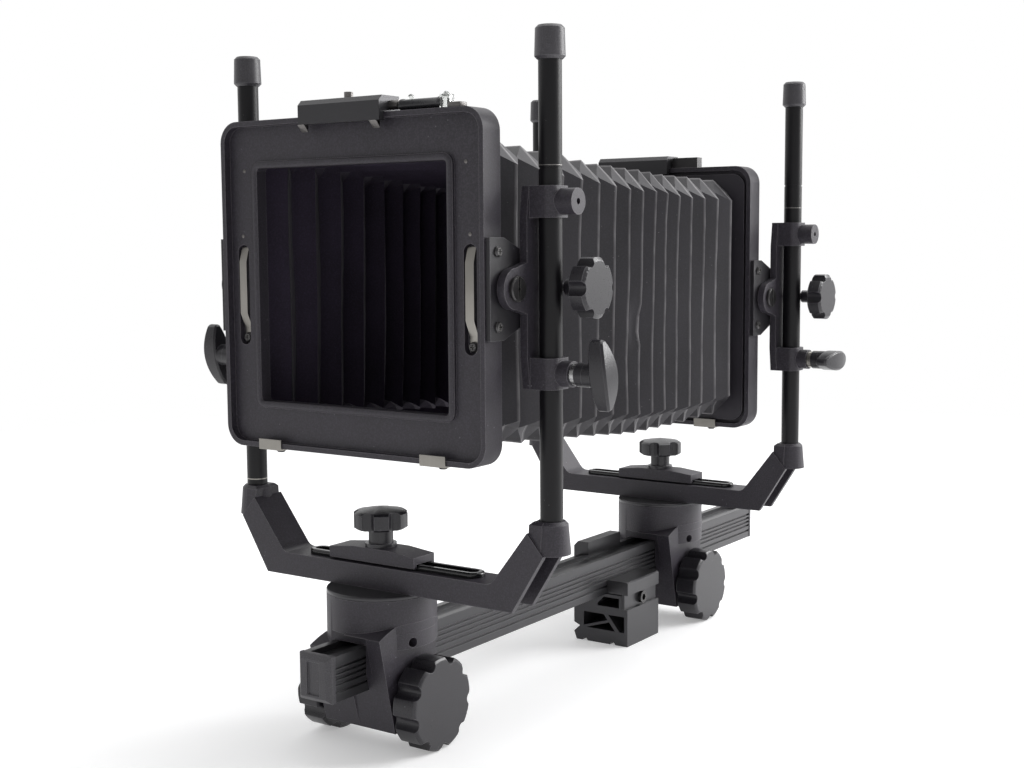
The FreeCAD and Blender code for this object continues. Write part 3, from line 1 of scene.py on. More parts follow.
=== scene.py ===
"""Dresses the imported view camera: finishes, rounded castings, moulded knobs and the pleated bellows.

Everything is in metres in the part's own frame: +Z up, +Y along the rail from the front standard to
the rear one, the origin at the mouth of the tripod socket.
"""
from __future__ import annotations

import json
import logging
import math
from contextlib import contextmanager
from dataclasses import dataclass, field
from enum import Enum
from typing import Iterator, Sequence

import bmesh
import bpy
from mathutils import Matrix, Vector, noise

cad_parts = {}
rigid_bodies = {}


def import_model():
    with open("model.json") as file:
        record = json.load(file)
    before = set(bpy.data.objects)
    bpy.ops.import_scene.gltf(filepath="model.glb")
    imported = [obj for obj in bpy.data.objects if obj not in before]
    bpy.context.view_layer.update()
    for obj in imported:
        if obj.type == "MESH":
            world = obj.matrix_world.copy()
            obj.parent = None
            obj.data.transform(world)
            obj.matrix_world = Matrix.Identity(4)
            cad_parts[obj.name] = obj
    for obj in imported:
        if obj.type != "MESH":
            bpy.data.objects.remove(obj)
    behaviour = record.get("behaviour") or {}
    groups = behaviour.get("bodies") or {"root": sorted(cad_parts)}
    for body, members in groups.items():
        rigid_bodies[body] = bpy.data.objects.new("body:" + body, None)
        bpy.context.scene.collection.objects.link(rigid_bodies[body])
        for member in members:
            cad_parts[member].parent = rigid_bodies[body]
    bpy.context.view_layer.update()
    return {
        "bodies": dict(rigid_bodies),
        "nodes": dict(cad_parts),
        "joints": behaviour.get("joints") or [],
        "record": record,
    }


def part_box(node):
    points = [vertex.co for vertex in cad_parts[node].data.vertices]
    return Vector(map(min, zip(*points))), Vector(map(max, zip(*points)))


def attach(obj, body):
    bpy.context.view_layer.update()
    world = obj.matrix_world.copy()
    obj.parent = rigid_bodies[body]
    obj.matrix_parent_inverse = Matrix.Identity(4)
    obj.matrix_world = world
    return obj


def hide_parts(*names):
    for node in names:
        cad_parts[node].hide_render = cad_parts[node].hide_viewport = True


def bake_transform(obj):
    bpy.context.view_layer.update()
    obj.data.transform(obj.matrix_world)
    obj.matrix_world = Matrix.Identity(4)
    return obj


LOG = logging.getLogger("view_camera")
MM = 0.001
Socket, Node = bpy.types.NodeSocket, bpy.types.Node
Object, Mesh, Material = bpy.types.Object, bpy.types.Mesh, bpy.types.Material
Shape = bmesh.types.BMesh
Triple = tuple[float, float, float]
DUST: Triple = (0.42, 0.41, 0.43)
WHITE = (1.0, 1.0, 1.0, 1.0)
MOST_NOISE = (0.3, 0.7)   # levels between which nearly all noise lies
SPECK = (0.11, 0.05)      # from a speck's edge to its full tone, in cells
EDGE_BEND = (0.995, 0.86) # cosines at which the edge wear and painted highlight starts and is full
FLUTE_ZONE = 0.16         # share of a knob's radius in which its flutes lie
SAME_POINT = 2e-6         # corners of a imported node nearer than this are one
SEAM = 1e-6               # the same for the pleated sheet
TOUCHING = 1e-7           # and for a turned piece
FLAT_ANGLE = 0.6          # degrees between facets that are one face


# ---- node trees
def lighter(colour: Triple, times: float) -> Triple:
    """A colour made lighter, or darker when times is under 1."""
    return tuple(min(1.0, channel * times) for channel in colour)


@dataclass(frozen=True)
class Pattern:
    """Noise that fades in between two of its levels."""

    cells: float              # to the metre
    detail: float
    start: float
    full: float
    least: float = 0.0        # value below the start


DUST_PATCHES = Pattern(55.0, 2.0, 0.54, 0.62)


class NodeScribe:
    """Writes nodes into a tree and links them."""

    def __init__(self, tree: bpy.types.NodeTree) -> None:
        """Keep the shader or geometry node tree to write in."""
        self.tree = tree

    def feed(self, socket: Socket, value: object) -> None:
        """Link a socket to another socket, or set its value.

        Args:
            socket: The input to feed.
            value: A socket to link from, or a plain value; None leaves it alone.
        """
        if isinstance(value, Socket):
            self.tree.links.new(value, socket)
        elif value is not None:
            socket.default_value = value

    def fill(self, node: Node, inputs: dict) -> None:
        """Feed several inputs of a node, given by name or number."""
        for key, value in inputs.items():
            self.feed(node.inputs[key], value)

    def add(self, kind: str, inputs: dict | None = None, **settings: object) -> Node:
        """Add a node.

        Args:
            kind: The node's type name.
            inputs: Values or sockets for its inputs, by name or number.
            **settings: Properties set on the node before its inputs are fed.

        Returns:
            The new node.
        """
        node = self.tree.nodes.new(kind)
        for name, value in settings.items():
            setattr(node, name, value)
        self.fill(node, inputs or {})
        return node

    def out(self, kind: str, inputs: dict | None = None, **settings: object) -> Socket:
        """Add a node; returns its first output."""
        return self.add(kind, inputs, **settings).outputs[0]

    def math(self, operation: str, a: object, b: object = None) -> Socket:
        """Arithmetic on one or two values; returns the result's socket."""
        return self.out("ShaderNodeMath", {0: a, 1: b}, operation=operation)

    def blend(self, share: object, first: object, second: object) -> Socket:
        """Mix two numbers; returns the result's socket."""
        return self.out("ShaderNodeMix", {0: share, 2: first, 3: second}, data_type="FLOAT")


class ShaderScribe(NodeScribe):
    """Writes the nodes of a surface finish."""

    def coordinates(self, stretch: Triple = (1.0, 1.0, 1.0)) -> Socket:
        """Object coordinates, denser along each axis by its stretch; returns the vector socket."""
        place = self.add("ShaderNodeTexCoord").outputs["Object"]
        return self.out("ShaderNodeMapping", {"Vector": place, "Scale": stretch})

    def noise(self, scale: float, detail: float = 3.0, vector: Socket | None = None) -> Socket:
        """Fractal noise on object coordinates; returns its factor socket."""
        source = vector or self.coordinates()
        return self.out("ShaderNodeTexNoise", {"Vector": source, "Scale": scale, "Detail": detail})

    def ramp(self, value: Socket, low: float, high: float, out_low: float = 0.0,
             out_high: float = 1.0) -> Socket:
        """Map a value from one range to another, clamped; returns the result's socket."""
        inputs = {"Value": value, "From Min": low, "From Max": high, "To Min": out_low, "To Max": out_high}
        return self.out("ShaderNodeMapRange", inputs)

    def pattern(self, kind: Pattern) -> Socket:
        """Noise that fades in between two levels; returns the result's socket."""
        return self.ramp(self.noise(kind.cells, kind.detail), kind.start, kind.full, kind.least)

    def mix(self, share: object, first: object, second: object) -> Socket:
        """Mix two colours; returns the colour socket."""
        node = self.add("ShaderNodeMix", data_type="RGBA")
        for index, value in ((0, share), (6, first), (7, second)):
            self.feed(node.inputs[index], (*value, 1.0) if isinstance(value, tuple) else value)
        return node.outputs[2]

    def coat(self, tone: object, mask: Socket, share: float, colour: Triple) -> Socket:
        """Lay a share of a colour over a tone where a mask is high; returns the colour socket."""
        return self.mix(self.math("MULTIPLY", mask, share), tone, colour)

    def edges(self, radius: float) -> Socket:
        """A mask of the outer edges.

        Args:
            radius: How far from an edge it reaches, in metres.

        Returns:
            The mask's socket, 0 on flats and towards 1 on edges.
        """
        bevel = self.out("ShaderNodeBevel", {"Radius": radius}, samples=4)
        normal = self.add("ShaderNodeNewGeometry").outputs["Normal"]
        dot = self.add("ShaderNodeVectorMath", {0: bevel, 1: normal}, operation="DOT_PRODUCT")
        return self.ramp(dot.outputs["Value"], *EDGE_BEND)

    def dust(self, scale: float) -> Socket:
        """Scattered specks of dust; returns their mask."""
        cells = self.out("ShaderNodeTexVoronoi", {"Vector": self.coordinates(), "Scale": scale})
        patches = self.pattern(DUST_PATCHES)
        return self.math("MULTIPLY", self.ramp(cells, *SPECK), patches)

    def bump(self, layers: Sequence[tuple[Socket, float, float]]) -> Socket:
        """Stack height patterns into one normal.

        Args:
            layers: (height, strength, distance in metres) for each pattern.

        Returns:
            The normal's socket.
        """
        normal = None
        for height, strength, distance in layers:
            inputs = {"Height": height, "Strength": strength, "Distance": distance, "Normal": normal}
            normal = self.out("ShaderNodeBump", inputs)
        return normal


class LayoutScribe(NodeScribe):
    """Writes a node tree that lays out geometry, and runs it."""

    def __init__(self, name: str, inputs: dict[str, str]) -> None:
        """Start the tree.

        Args:
            name: The tree's name.
            inputs: The kind of each named input, such as "Float".
        """
        super().__init__(bpy.data.node_groups.new(name, "GeometryNodeTree"))
        face = self.tree.interface
        for label, kind in ({"Geometry": "Geometry"} | inputs).items():
            face.new_socket(label, in_out="INPUT", socket_type=f"NodeSocket{kind}")
        face.new_socket("Geometry", in_out="OUTPUT", socket_type="NodeSocketGeometry")
        self.given = self.add("NodeGroupInput").outputs

    def pick(self, index: Socket, values: Sequence[Socket]) -> Socket:
        """Choose one of several numbers.

        Args:
            index: Which one to take, from 0.
            values: The numbers' sockets.

        Returns:
            The chosen number's socket.
        """
        switch = self.add("GeometryNodeIndexSwitch", data_type="FLOAT")
        while len(switch.index_switch_items) < len(values):
            switch.index_switch_items.new()
        for slot, value in enumerate((index, *values)):
            self.feed(switch.inputs[slot], value)
        return switch.outputs[0]

    def end(self, laid: Socket, material: Material) -> None:
        """Make what was laid out real, with its material, and hand it on."""
        real = self.out("GeometryNodeRealizeInstances", {"Geometry": laid})
        dressed = self.out("GeometryNodeSetMaterial", {"Geometry": real, "Material": material})
        self.add("NodeGroupOutput", {0: dressed})

    def run(self, thing: Object, values: dict[str, object]) -> Object:
        """Lay out an object's geometry and bake it.

        Args:
            thing: The object that gives the geometry.
            values: The tree's inputs, by name.

        Returns:
            The same object, now a plain mesh.
        """
        layout = thing.modifiers.new("layout", "NODES")
        layout.node_group = self.tree
        for item in self.tree.interface.items_tree:
            if item.in_out == "INPUT" and item.name in values:
                layout[item.identifier] = values[item.name]
        return baked(thing)


# ---- finishes
@dataclass(frozen=True)
class Finish:
    """A surface finish; subclasses paint its pattern."""

    name: str
    colour: Triple
    # colour laid on edges and cloth folds: partly wear, partly painted highlight
    wear_and_highlight: Triple
    roughness: float
    metallic: float = 0.0
    shine: float = 0.5

    def paint(self, scribe: ShaderScribe, surface: Node) -> None:
        """Write the pattern's nodes; overridden by each kind of finish."""

    def material(self) -> Material:
        """Build the material.

        Returns:
            The Blender material.
        """
        material = bpy.data.materials.new(self.name)
        material.use_nodes = True
        scribe = ShaderScribe(material.node_tree)
        surface = material.node_tree.nodes["Principled BSDF"]
        scribe.fill(surface, {"Metallic": self.metallic, "Roughness": self.roughness,
                              "Specular IOR Level": self.shine})
        self.paint(scribe, surface)
        return material


@dataclass(frozen=True)
class GrainedPaint(Finish):
    """Black paint with a fine grain, dust, and edges painted lighter as wear and highlight."""

    grain: float = 0.8 * MM
    grain_height: float = 0.06 * MM
    grain_strength: float = 0.6
    grain_levels: tuple[float, float] = (0.42, 0.7)
    grain_tone: float = 3.4
    mottle: float = 0.35
    clouds: Pattern = Pattern(26.0, 4.0, 0.35, 0.7)
    cloud_tone: float = 1.35
    edge_radius: float = 0.6 * MM
    edge_share: float = 0.6
    specks: float = 250.0
    dust_share: float = 0.25
    smoother: float = 0.07
    rougher: float = 0.08

    def paint(self, scribe: ShaderScribe, surface: Node) -> None:
        """Write grain, cloudy tone, dust specks, and edges lightened as wear and painted highlight."""
        clouds = scribe.pattern(self.clouds)
        grain = scribe.noise(1.0 / self.grain)
        tone = scribe.mix(clouds, self.colour, lighter(self.colour, self.cloud_tone))
        grains = scribe.ramp(grain, *self.grain_levels)
        tone = scribe.coat(tone, grains, self.mottle, lighter(self.colour, self.grain_tone))
        # edges painted lighter: partly wear, partly painted highlight
        tone = scribe.coat(tone, scribe.edges(self.edge_radius), self.edge_share, self.wear_and_highlight)
        tone = scribe.coat(tone, scribe.dust(self.specks), self.dust_share, DUST)
        low, high = self.roughness - self.smoother, self.roughness + self.rougher
        rough = scribe.ramp(grain, *MOST_NOISE, low, high)
        normal = scribe.bump([(grain, self.grain_strength, self.grain_height)])
        scribe.fill(surface, {"Base Color": tone, "Roughness": rough, "Normal": normal})


@dataclass(frozen=True)
class DrawnMetal(Finish):
    """Metal with fine lines along one direction."""

    lines: Triple = (1500.0, 20.0, 1500.0)
    line_detail: float = 2.0
    line_height: float = 0.008 * MM
    line_strength: float = 0.3
    line_spread: float = 0.06
    clouds: Pattern = Pattern(40.0, 4.0, *MOST_NOISE)
    cloud: float = 0.78
    edge_radius: float = 0.4 * MM
    edge_share: float = 0.45
    specks: float = 300.0
    dust_share: float = 0.12

    def paint(self, scribe: ShaderScribe, surface: Node) -> None:
        """Write drawn lines, cloudy tone, dust specks, and edges painted bright as wear and highlight."""
        lines = scribe.noise(1.0, self.line_detail, scribe.coordinates(self.lines))
        tone = scribe.mix(scribe.pattern(self.clouds), lighter(self.colour, self.cloud), self.colour)
        if self.edge_share:
            # edges painted bright: partly wear, partly painted highlight
            tone = scribe.coat(tone, scribe.edges(self.edge_radius), self.edge_share, self.wear_and_highlight)
        tone = scribe.coat(tone, scribe.dust(self.specks), self.dust_share, DUST)
        low, high = self.roughness - self.line_spread, self.roughness + self.line_spread
        normal = scribe.bump([(lines, self.line_strength, self.line_height)])
        rough = scribe.ramp(lines, *MOST_NOISE, low, high)
        scribe.fill(surface, {"Base Color": tone, "Roughness": rough, "Normal": normal})


@dataclass(frozen=True)
class PleatedCloth(Finish):
    """Black leather-cloth, painted paler along the folds as wear and highlight."""

    # share of the paler fold colour: partly chafing, partly painted highlight
    fold_wear_and_highlight: float = 0.85
    fold_patchiness: Pattern = Pattern(90.0, 4.0, 0.25, 0.7, 0.35)
    ridge_zone: tuple[float, float] = (0.86, 0.985)
    corner_zone: tuple[float, float] = (0.86, 0.99)
    corner_share: float = 0.5
    mottle: Pattern = Pattern(30.0, 5.0, 0.3, 0.72)
    mottle_tone: float = 1.7
    specks: float = 330.0
    dusty: float = 0.35
    weave: float = 1100.0
    weave_share: float = 0.35
    weave_levels: tuple[float, float] = (0.45, 0.7)
    weave_tone: float = 3.2
    weave_height: float = 0.05 * MM
    weave_strength: float = 0.5
    wrinkles: tuple[float, float] = (120.0, 4.0)
    wrinkle_height: float = 0.3 * MM
    wrinkle_strength: float = 0.4
    sheen: float = 0.08
    sheen_roughness: float = 0.5

    def paint(self, scribe: ShaderScribe, surface: Node) -> None:
        """Write grain, mottling, folds painted paler as wear and highlight, and dust."""
        crease, mitre = (scribe.add("ShaderNodeAttribute", attribute_name=name).outputs["Fac"]
                         for name in ("crease", "mitre"))
        # noise patches where the folds are painted paler
        fold_patches = scribe.pattern(self.fold_patchiness)
        ridge = scribe.ramp(crease, *self.ridge_zone)
        corner = scribe.math("MULTIPLY", scribe.ramp(mitre, *self.corner_zone), self.corner_share)
        fold = scribe.math("MULTIPLY", scribe.math("MAXIMUM", ridge, corner), fold_patches)
        weave = scribe.noise(self.weave)
        tone = scribe.mix(scribe.pattern(self.mottle), self.colour, lighter(self.colour, self.mottle_tone))
        threads = scribe.ramp(weave, *self.weave_levels)
        tone = scribe.coat(tone, threads, self.weave_share, lighter(self.colour, self.weave_tone))
        # ridge and corner folds painted paler: partly chafing, partly painted highlight
        tone = scribe.coat(tone, fold, self.fold_wear_and_highlight, self.wear_and_highlight)
        tone = scribe.coat(tone, scribe.dust(self.specks), self.dusty, DUST)
        normal = scribe.bump([(scribe.noise(*self.wrinkles), self.wrinkle_strength, self.wrinkle_height),
                              (weave, self.weave_strength, self.weave_height)])
        scribe.fill(surface, {"Base Color": tone, "Normal": normal, "Sheen Weight": self.sheen,
                              "Sheen Roughness": self.sheen_roughness})


@dataclass(frozen=True)
class ClearPlastic(Finish):
    """Clear moulded plastic, slightly scuffed."""

    clearness: float = 0.85
    refraction: float = 1.49
    scuffs: Pattern = Pattern(300.0, 3.0, 0.5, 0.75)
    scuffed: float = 0.25

    def paint(self, scribe: ShaderScribe, surface: Node) -> None:
        """Write the clear body and its scuffs."""
        marks, rough = self.scuffs, self.roughness
        rough = scribe.ramp(scribe.noise(marks.cells, marks.detail), marks.start, marks.full, rough,
                            rough + self.scuffed)
        scribe.fill(surface, {"Base Color": (*self.colour, 1.0), "Transmission Weight": self.clearness,
                              "IOR": self.refraction, "Roughness": rough})


class Paintbox:
    """Every finish of the camera, made once, by its name."""

    def __init__(self) -> None:
        """Make the materials."""
        # second colour of each finish goes on edges and folds: partly wear, partly painted highlight
        paint_wear_and_highlight = (0.19, 0.18, 0.195)
        pale = (0.5, 0.49, 0.47)
        finishes = (
            GrainedPaint("black_casting", (0.019, 0.0165, 0.022), paint_wear_and_highlight, 0.50, grain_height=0.13 * MM,
                         mottle=0.55),
            GrainedPaint("black_sheet", (0.009, 0.008, 0.0105), paint_wear_and_highlight, 0.42, grain=0.4 * MM),
            GrainedPaint("black_plastic", (0.04, 0.038, 0.043), (0.2, 0.2, 0.21), 0.42, grain=0.5 * MM),
            GrainedPaint("knob_plastic", (0.013, 0.012, 0.015), (0.22, 0.215, 0.23), 0.33, grain=0.5 * MM),
            GrainedPaint("board_panel", (0.02, 0.0175, 0.023), paint_wear_and_highlight, 0.5, grain=0.4 * MM),
            DrawnMetal("black_anodised", (0.05, 0.049, 0.053), (0.35, 0.35, 0.36), 0.32, 0.45,
                       lines=(900.0, 40.0, 900.0), line_height=0.0004 * MM, line_spread=0.02, cloud=0.93,
                       edge_share=0.0),
            DrawnMetal("black_rod", (0.0045, 0.004, 0.0055), (0.3, 0.3, 0.3), 0.4, shine=0.32,
                       lines=(160.0, 160.0, 40.0), line_height=0.0004 * MM, line_spread=0.02, cloud=0.85,
                       edge_share=0.0),
            DrawnMetal("gloss_black", (0.008, 0.008, 0.009), (0.3, 0.3, 0.3), 0.14),
            DrawnMetal("black_steel", (0.07, 0.068, 0.07), (0.45, 0.44, 0.42), 0.34, 0.8),
            DrawnMetal("steel", (0.5, 0.5, 0.5), (0.75, 0.75, 0.75), 0.24, 1.0),
            DrawnMetal("bright_steel", (0.33, 0.315, 0.29), pale, 0.36, 1.0, lines=(2200.0, 2200.0, 30.0)),
            DrawnMetal("dull_steel", (0.2, 0.19, 0.185), (0.4, 0.4, 0.38), 0.4, 0.9),
            DrawnMetal("level_tube", (0.03, 0.03, 0.033), (0.25, 0.25, 0.25), 0.3, 0.3),
            PleatedCloth("bellows_cloth", (0.0115, 0.0102, 0.0135), (0.26, 0.25, 0.26), 0.58),
            PleatedCloth("bellows_lining", (0.02, 0.014, 0.028), (0.06, 0.052, 0.07), 0.85, fold_wear_and_highlight=0.5,
                         dusty=0.0),
            ClearPlastic("clear_plastic", (0.9, 0.92, 0.9), (1.0, 1.0, 1.0), 0.12),
        )
        self.materials = {finish.name: finish.material() for finish in finishes}

    def __getitem__(self, name: str) -> Material:
        """The material of a finish."""
        return self.materials[name]


# ---- making pieces
def new_object(name: str, data: bpy.types.ID) -> Object:
    """Link a mesh, camera or lamp into the scene as an object at the origin."""
    thing = bpy.data.objects.new(name, data)
    bpy.context.scene.collection.objects.link(thing)
    return thing


def baked(thing: Object) -> Object:
    """Apply every modifier of an object to its mesh.

    Args:
        thing: The object to bake.

    Returns:
        The same object, now a plain mesh.
    """
    graph = bpy.context.evaluated_depsgraph_get()
    mesh = bpy.data.meshes.new_from_object(thing.evaluated_get(graph), depsgraph=graph)
    thing.modifiers.clear()
    thing.data = mesh
    return thing


def smooth_by_angle(mesh: Mesh, degrees: float) -> None:
    """Shade smooth, keeping edges sharper than an angle."""
    mesh.shade_smooth()
    mesh.set_sharp_from_angle(angle=math.radians(degrees))


def shape_to_object(name: str, shape: Shape) -> Object:
    """Turn a worked shape into an object with its faces outwards.

    Args:
        name: The piece's name.
        shape: The shape; it is freed.

    Returns:
        The new object.
    """
    bmesh.ops.recalc_face_normals(shape, faces=shape.faces)
    mesh = bpy.data.meshes.new(name)
    shape.to_mesh(mesh)
    shape.free()
    return new_object(name, mesh)


@contextmanager
def worked(mesh: Mesh) -> Iterator[Shape]:
    """Open a mesh as a shape to work on, and write it back."""
    shape = bmesh.new()
    shape.from_mesh(mesh)
    yield shape
    shape.to_mesh(mesh)
    shape.free()


def prism(name: str, section: Sequence[tuple[float, float]], low: float, high: float) -> Object:
    """A straight bar along X.

    Args:
        name: The piece's name.
        section: Its corners as (y, z), in order.
        low: Where it starts along X.
        high: Where it ends.

    Returns:
        The closed piece.
    """
    shape = bmesh.new()
    ends = [[shape.verts.new((x, y, z)) for y, z in section] for x in (low, high)]
    shape.faces.new(ends[0])
    shape.faces.new(list(reversed(ends[1])))
    count = len(section)
    for i in range(count):
        j = (i + 1) % count
        shape.faces.new((ends[0][j], ends[0][i], ends[1][i], ends[1][j]))
    return shape_to_object(name, shape)


@dataclass
class Turning:
    """A piece turned on a lathe about a line along X."""

    name: str
    centre: Vector
    profile: Sequence[tuple[float, float]]
    steps: int = 40
    smooth: float = 40.0

    def build(self) -> Object:
        """Turn the profile of (x, radius) pairs; a radius of 0 is a point on the axis.

        Returns:
            The piece, shaded smooth.
        """
        shape = bmesh.new()
        angles = [2 * math.pi * i / self.steps for i in range(self.steps)]
        rings = []
        for x, radius in self.profile:
            place = self.centre + Vector((x, 0.0, 0.0))
            outs = [Vector()]
            if radius:
                outs = [Vector((0.0, math.cos(angle), math.sin(angle))) * radius for angle in angles]
            rings.append([shape.verts.new(place + out) for out in outs])
        for first, second in zip(rings, rings[1:]):
            for i in range(self.steps):
                j = (i + 1) % self.steps
                around = ((first, i), (first, j), (second, j), (second, i))
                shape.faces.new(list(dict.fromkeys(ring[k % len(ring)] for ring, k in around)))
        bmesh.ops.remove_doubles(shape, verts=shape.verts, dist=TOUCHING)
        piece = shape_to_object(self.name, shape)
        smooth_by_angle(piece.data, self.smooth)
        return piece


class Spread(Enum):
    """What a row of repeated small parts is made of."""

    PINS = "pins"
    RINGS = "rings"


@dataclass
class RepeatedParts:
    """Small pins or rings set at given places by a node tree."""

    name: str
    kind: Spread
    places: Sequence[Vector]
    size: float
    thickness: float
    pin_cuts: tuple[int, int] = (14, 8)
    ring_cuts: tuple[int, int] = (48, 8)

    def layout(self, material: Material) -> LayoutScribe:
        """Write the node tree.

        Args:
            material: The parts' finish.

        Returns:
            Its scribe, with named inputs for both sizes.
        """
        scribe = LayoutScribe(self.name, {"Size": "Float", "Thickness": "Float"})
        size, thickness = scribe.given["Size"], scribe.given["Thickness"]
        if self.kind is Spread.PINS:
            around, up = self.pin_cuts
            ball = scribe.out("GeometryNodeMeshUVSphere", {"Segments": around, "Rings": up, "Radius": 1.0})
            flat = scribe.out("ShaderNodeCombineXYZ", {0: size, 1: thickness, 2: size})
            part = scribe.out("GeometryNodeTransform", {"Geometry": ball, "Scale": flat})
        else:
            circle = "GeometryNodeCurvePrimitiveCircle"
            loop, wire = (scribe.out(circle, {"Resolution": count, "Radius": radius})
                          for count, radius in zip(self.ring_cuts, (size, thickness)))
            part = scribe.out("GeometryNodeCurveToMesh", {"Curve": loop, "Profile Curve": wire})
        points = scribe.out("GeometryNodeMeshToPoints", {"Mesh": scribe.given["Geometry"]})
        laid = scribe.out("GeometryNodeInstanceOnPoints", {"Points": points, "Instance": part})
        scribe.end(scribe.out("GeometryNodeSetShadeSmooth", {"Geometry": laid}), material)
        return scribe

    def build(self, material: Material) -> Object:
        """Lay the parts out.

        Args:
            material: The parts' finish.

        Returns:
            One plain mesh of them all.
        """
        mesh = bpy.data.meshes.new(self.name)
        mesh.from_pydata([tuple(place) for place in self.places], [], [])
        thing = new_object(self.name, mesh)
        return self.layout(material).run(thing, {"Size": self.size, "Thickness": self.thickness})


@dataclass
class Rounding:
    """How edges are rounded, and how much deeper a knob's flutes are cut."""

    width: float
    segments: int = 2
    flute: float = 1.0
    axis: int = 0
    angle: float = 32.0
    smooth: float = 50.0

    def deepen_flutes(self, shape: Shape) -> None:
        """Cut the flutes round a knob's rim deeper.

        Args:
            shape: The knob, which turns about the rounding's axis: 0 for X and 2 for Z.
        """
        first, second = (i for i in range(3) if i != self.axis)
        places = [[vert.co[i] for vert in shape.verts] for i in (first, second)]
        middle = Vector([(min(along) + max(along)) / 2 for along in places])
        rim = max((Vector((v.co[first], v.co[second])) - middle).length for v in shape.verts)
        for vert in shape.verts:
            out = Vector((vert.co[first], vert.co[second])) - middle
            lost = rim - out.length
            if lost < rim * FLUTE_ZONE:
                vert.co[first], vert.co[second] = middle + out * ((rim - lost * self.flute) / out.length)

    def apply(self, piece: Object) -> Object:
        """Round the sharp edges of a piece and shade it smooth.

        Args:
            piece: The piece.

        Returns:
            The same piece, baked.
        """
        bevel = piece.modifiers.new("rounding", "BEVEL")
        bevel.width = self.width
        bevel.segments = self.segments
        bevel.limit_method = "ANGLE"
        bevel.angle_limit = math.radians(self.angle)
        baked(piece)
        smooth_by_angle(piece.data, self.smooth)
        return piece

    def copy_of(self, source: Object, material: Material) -> Object:
        """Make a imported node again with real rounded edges.

        Args:
            source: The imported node's object.
            material: The piece's finish.

        Returns:
            The finished piece.
        """
        mesh = source.data.copy()
        with worked(mesh) as shape:
            bmesh.ops.remove_doubles(shape, verts=shape.verts, dist=SAME_POINT)
            bmesh.ops.dissolve_limit(shape, angle_limit=math.radians(FLAT_ANGLE), verts=shape.verts,
                                     edges=shape.edges)
            if self.flute > 1.0:
                self.deepen_flutes(shape)
        mesh.materials.clear()
        mesh.materials.append(material)
        piece = self.apply(new_object(f"{source.name}_finished", mesh))
        even = piece.modifiers.new("even_faces", "WEIGHTED_NORMAL")
        even.keep_sharp = True
        return baked(piece)


# ---- bellows
@dataclass
class FoldGroup:
    """A run of folds, with the two bodies at its ends."""

    name: str
    first_line: int
    last_line: int
    body_a: str
    body_b: str


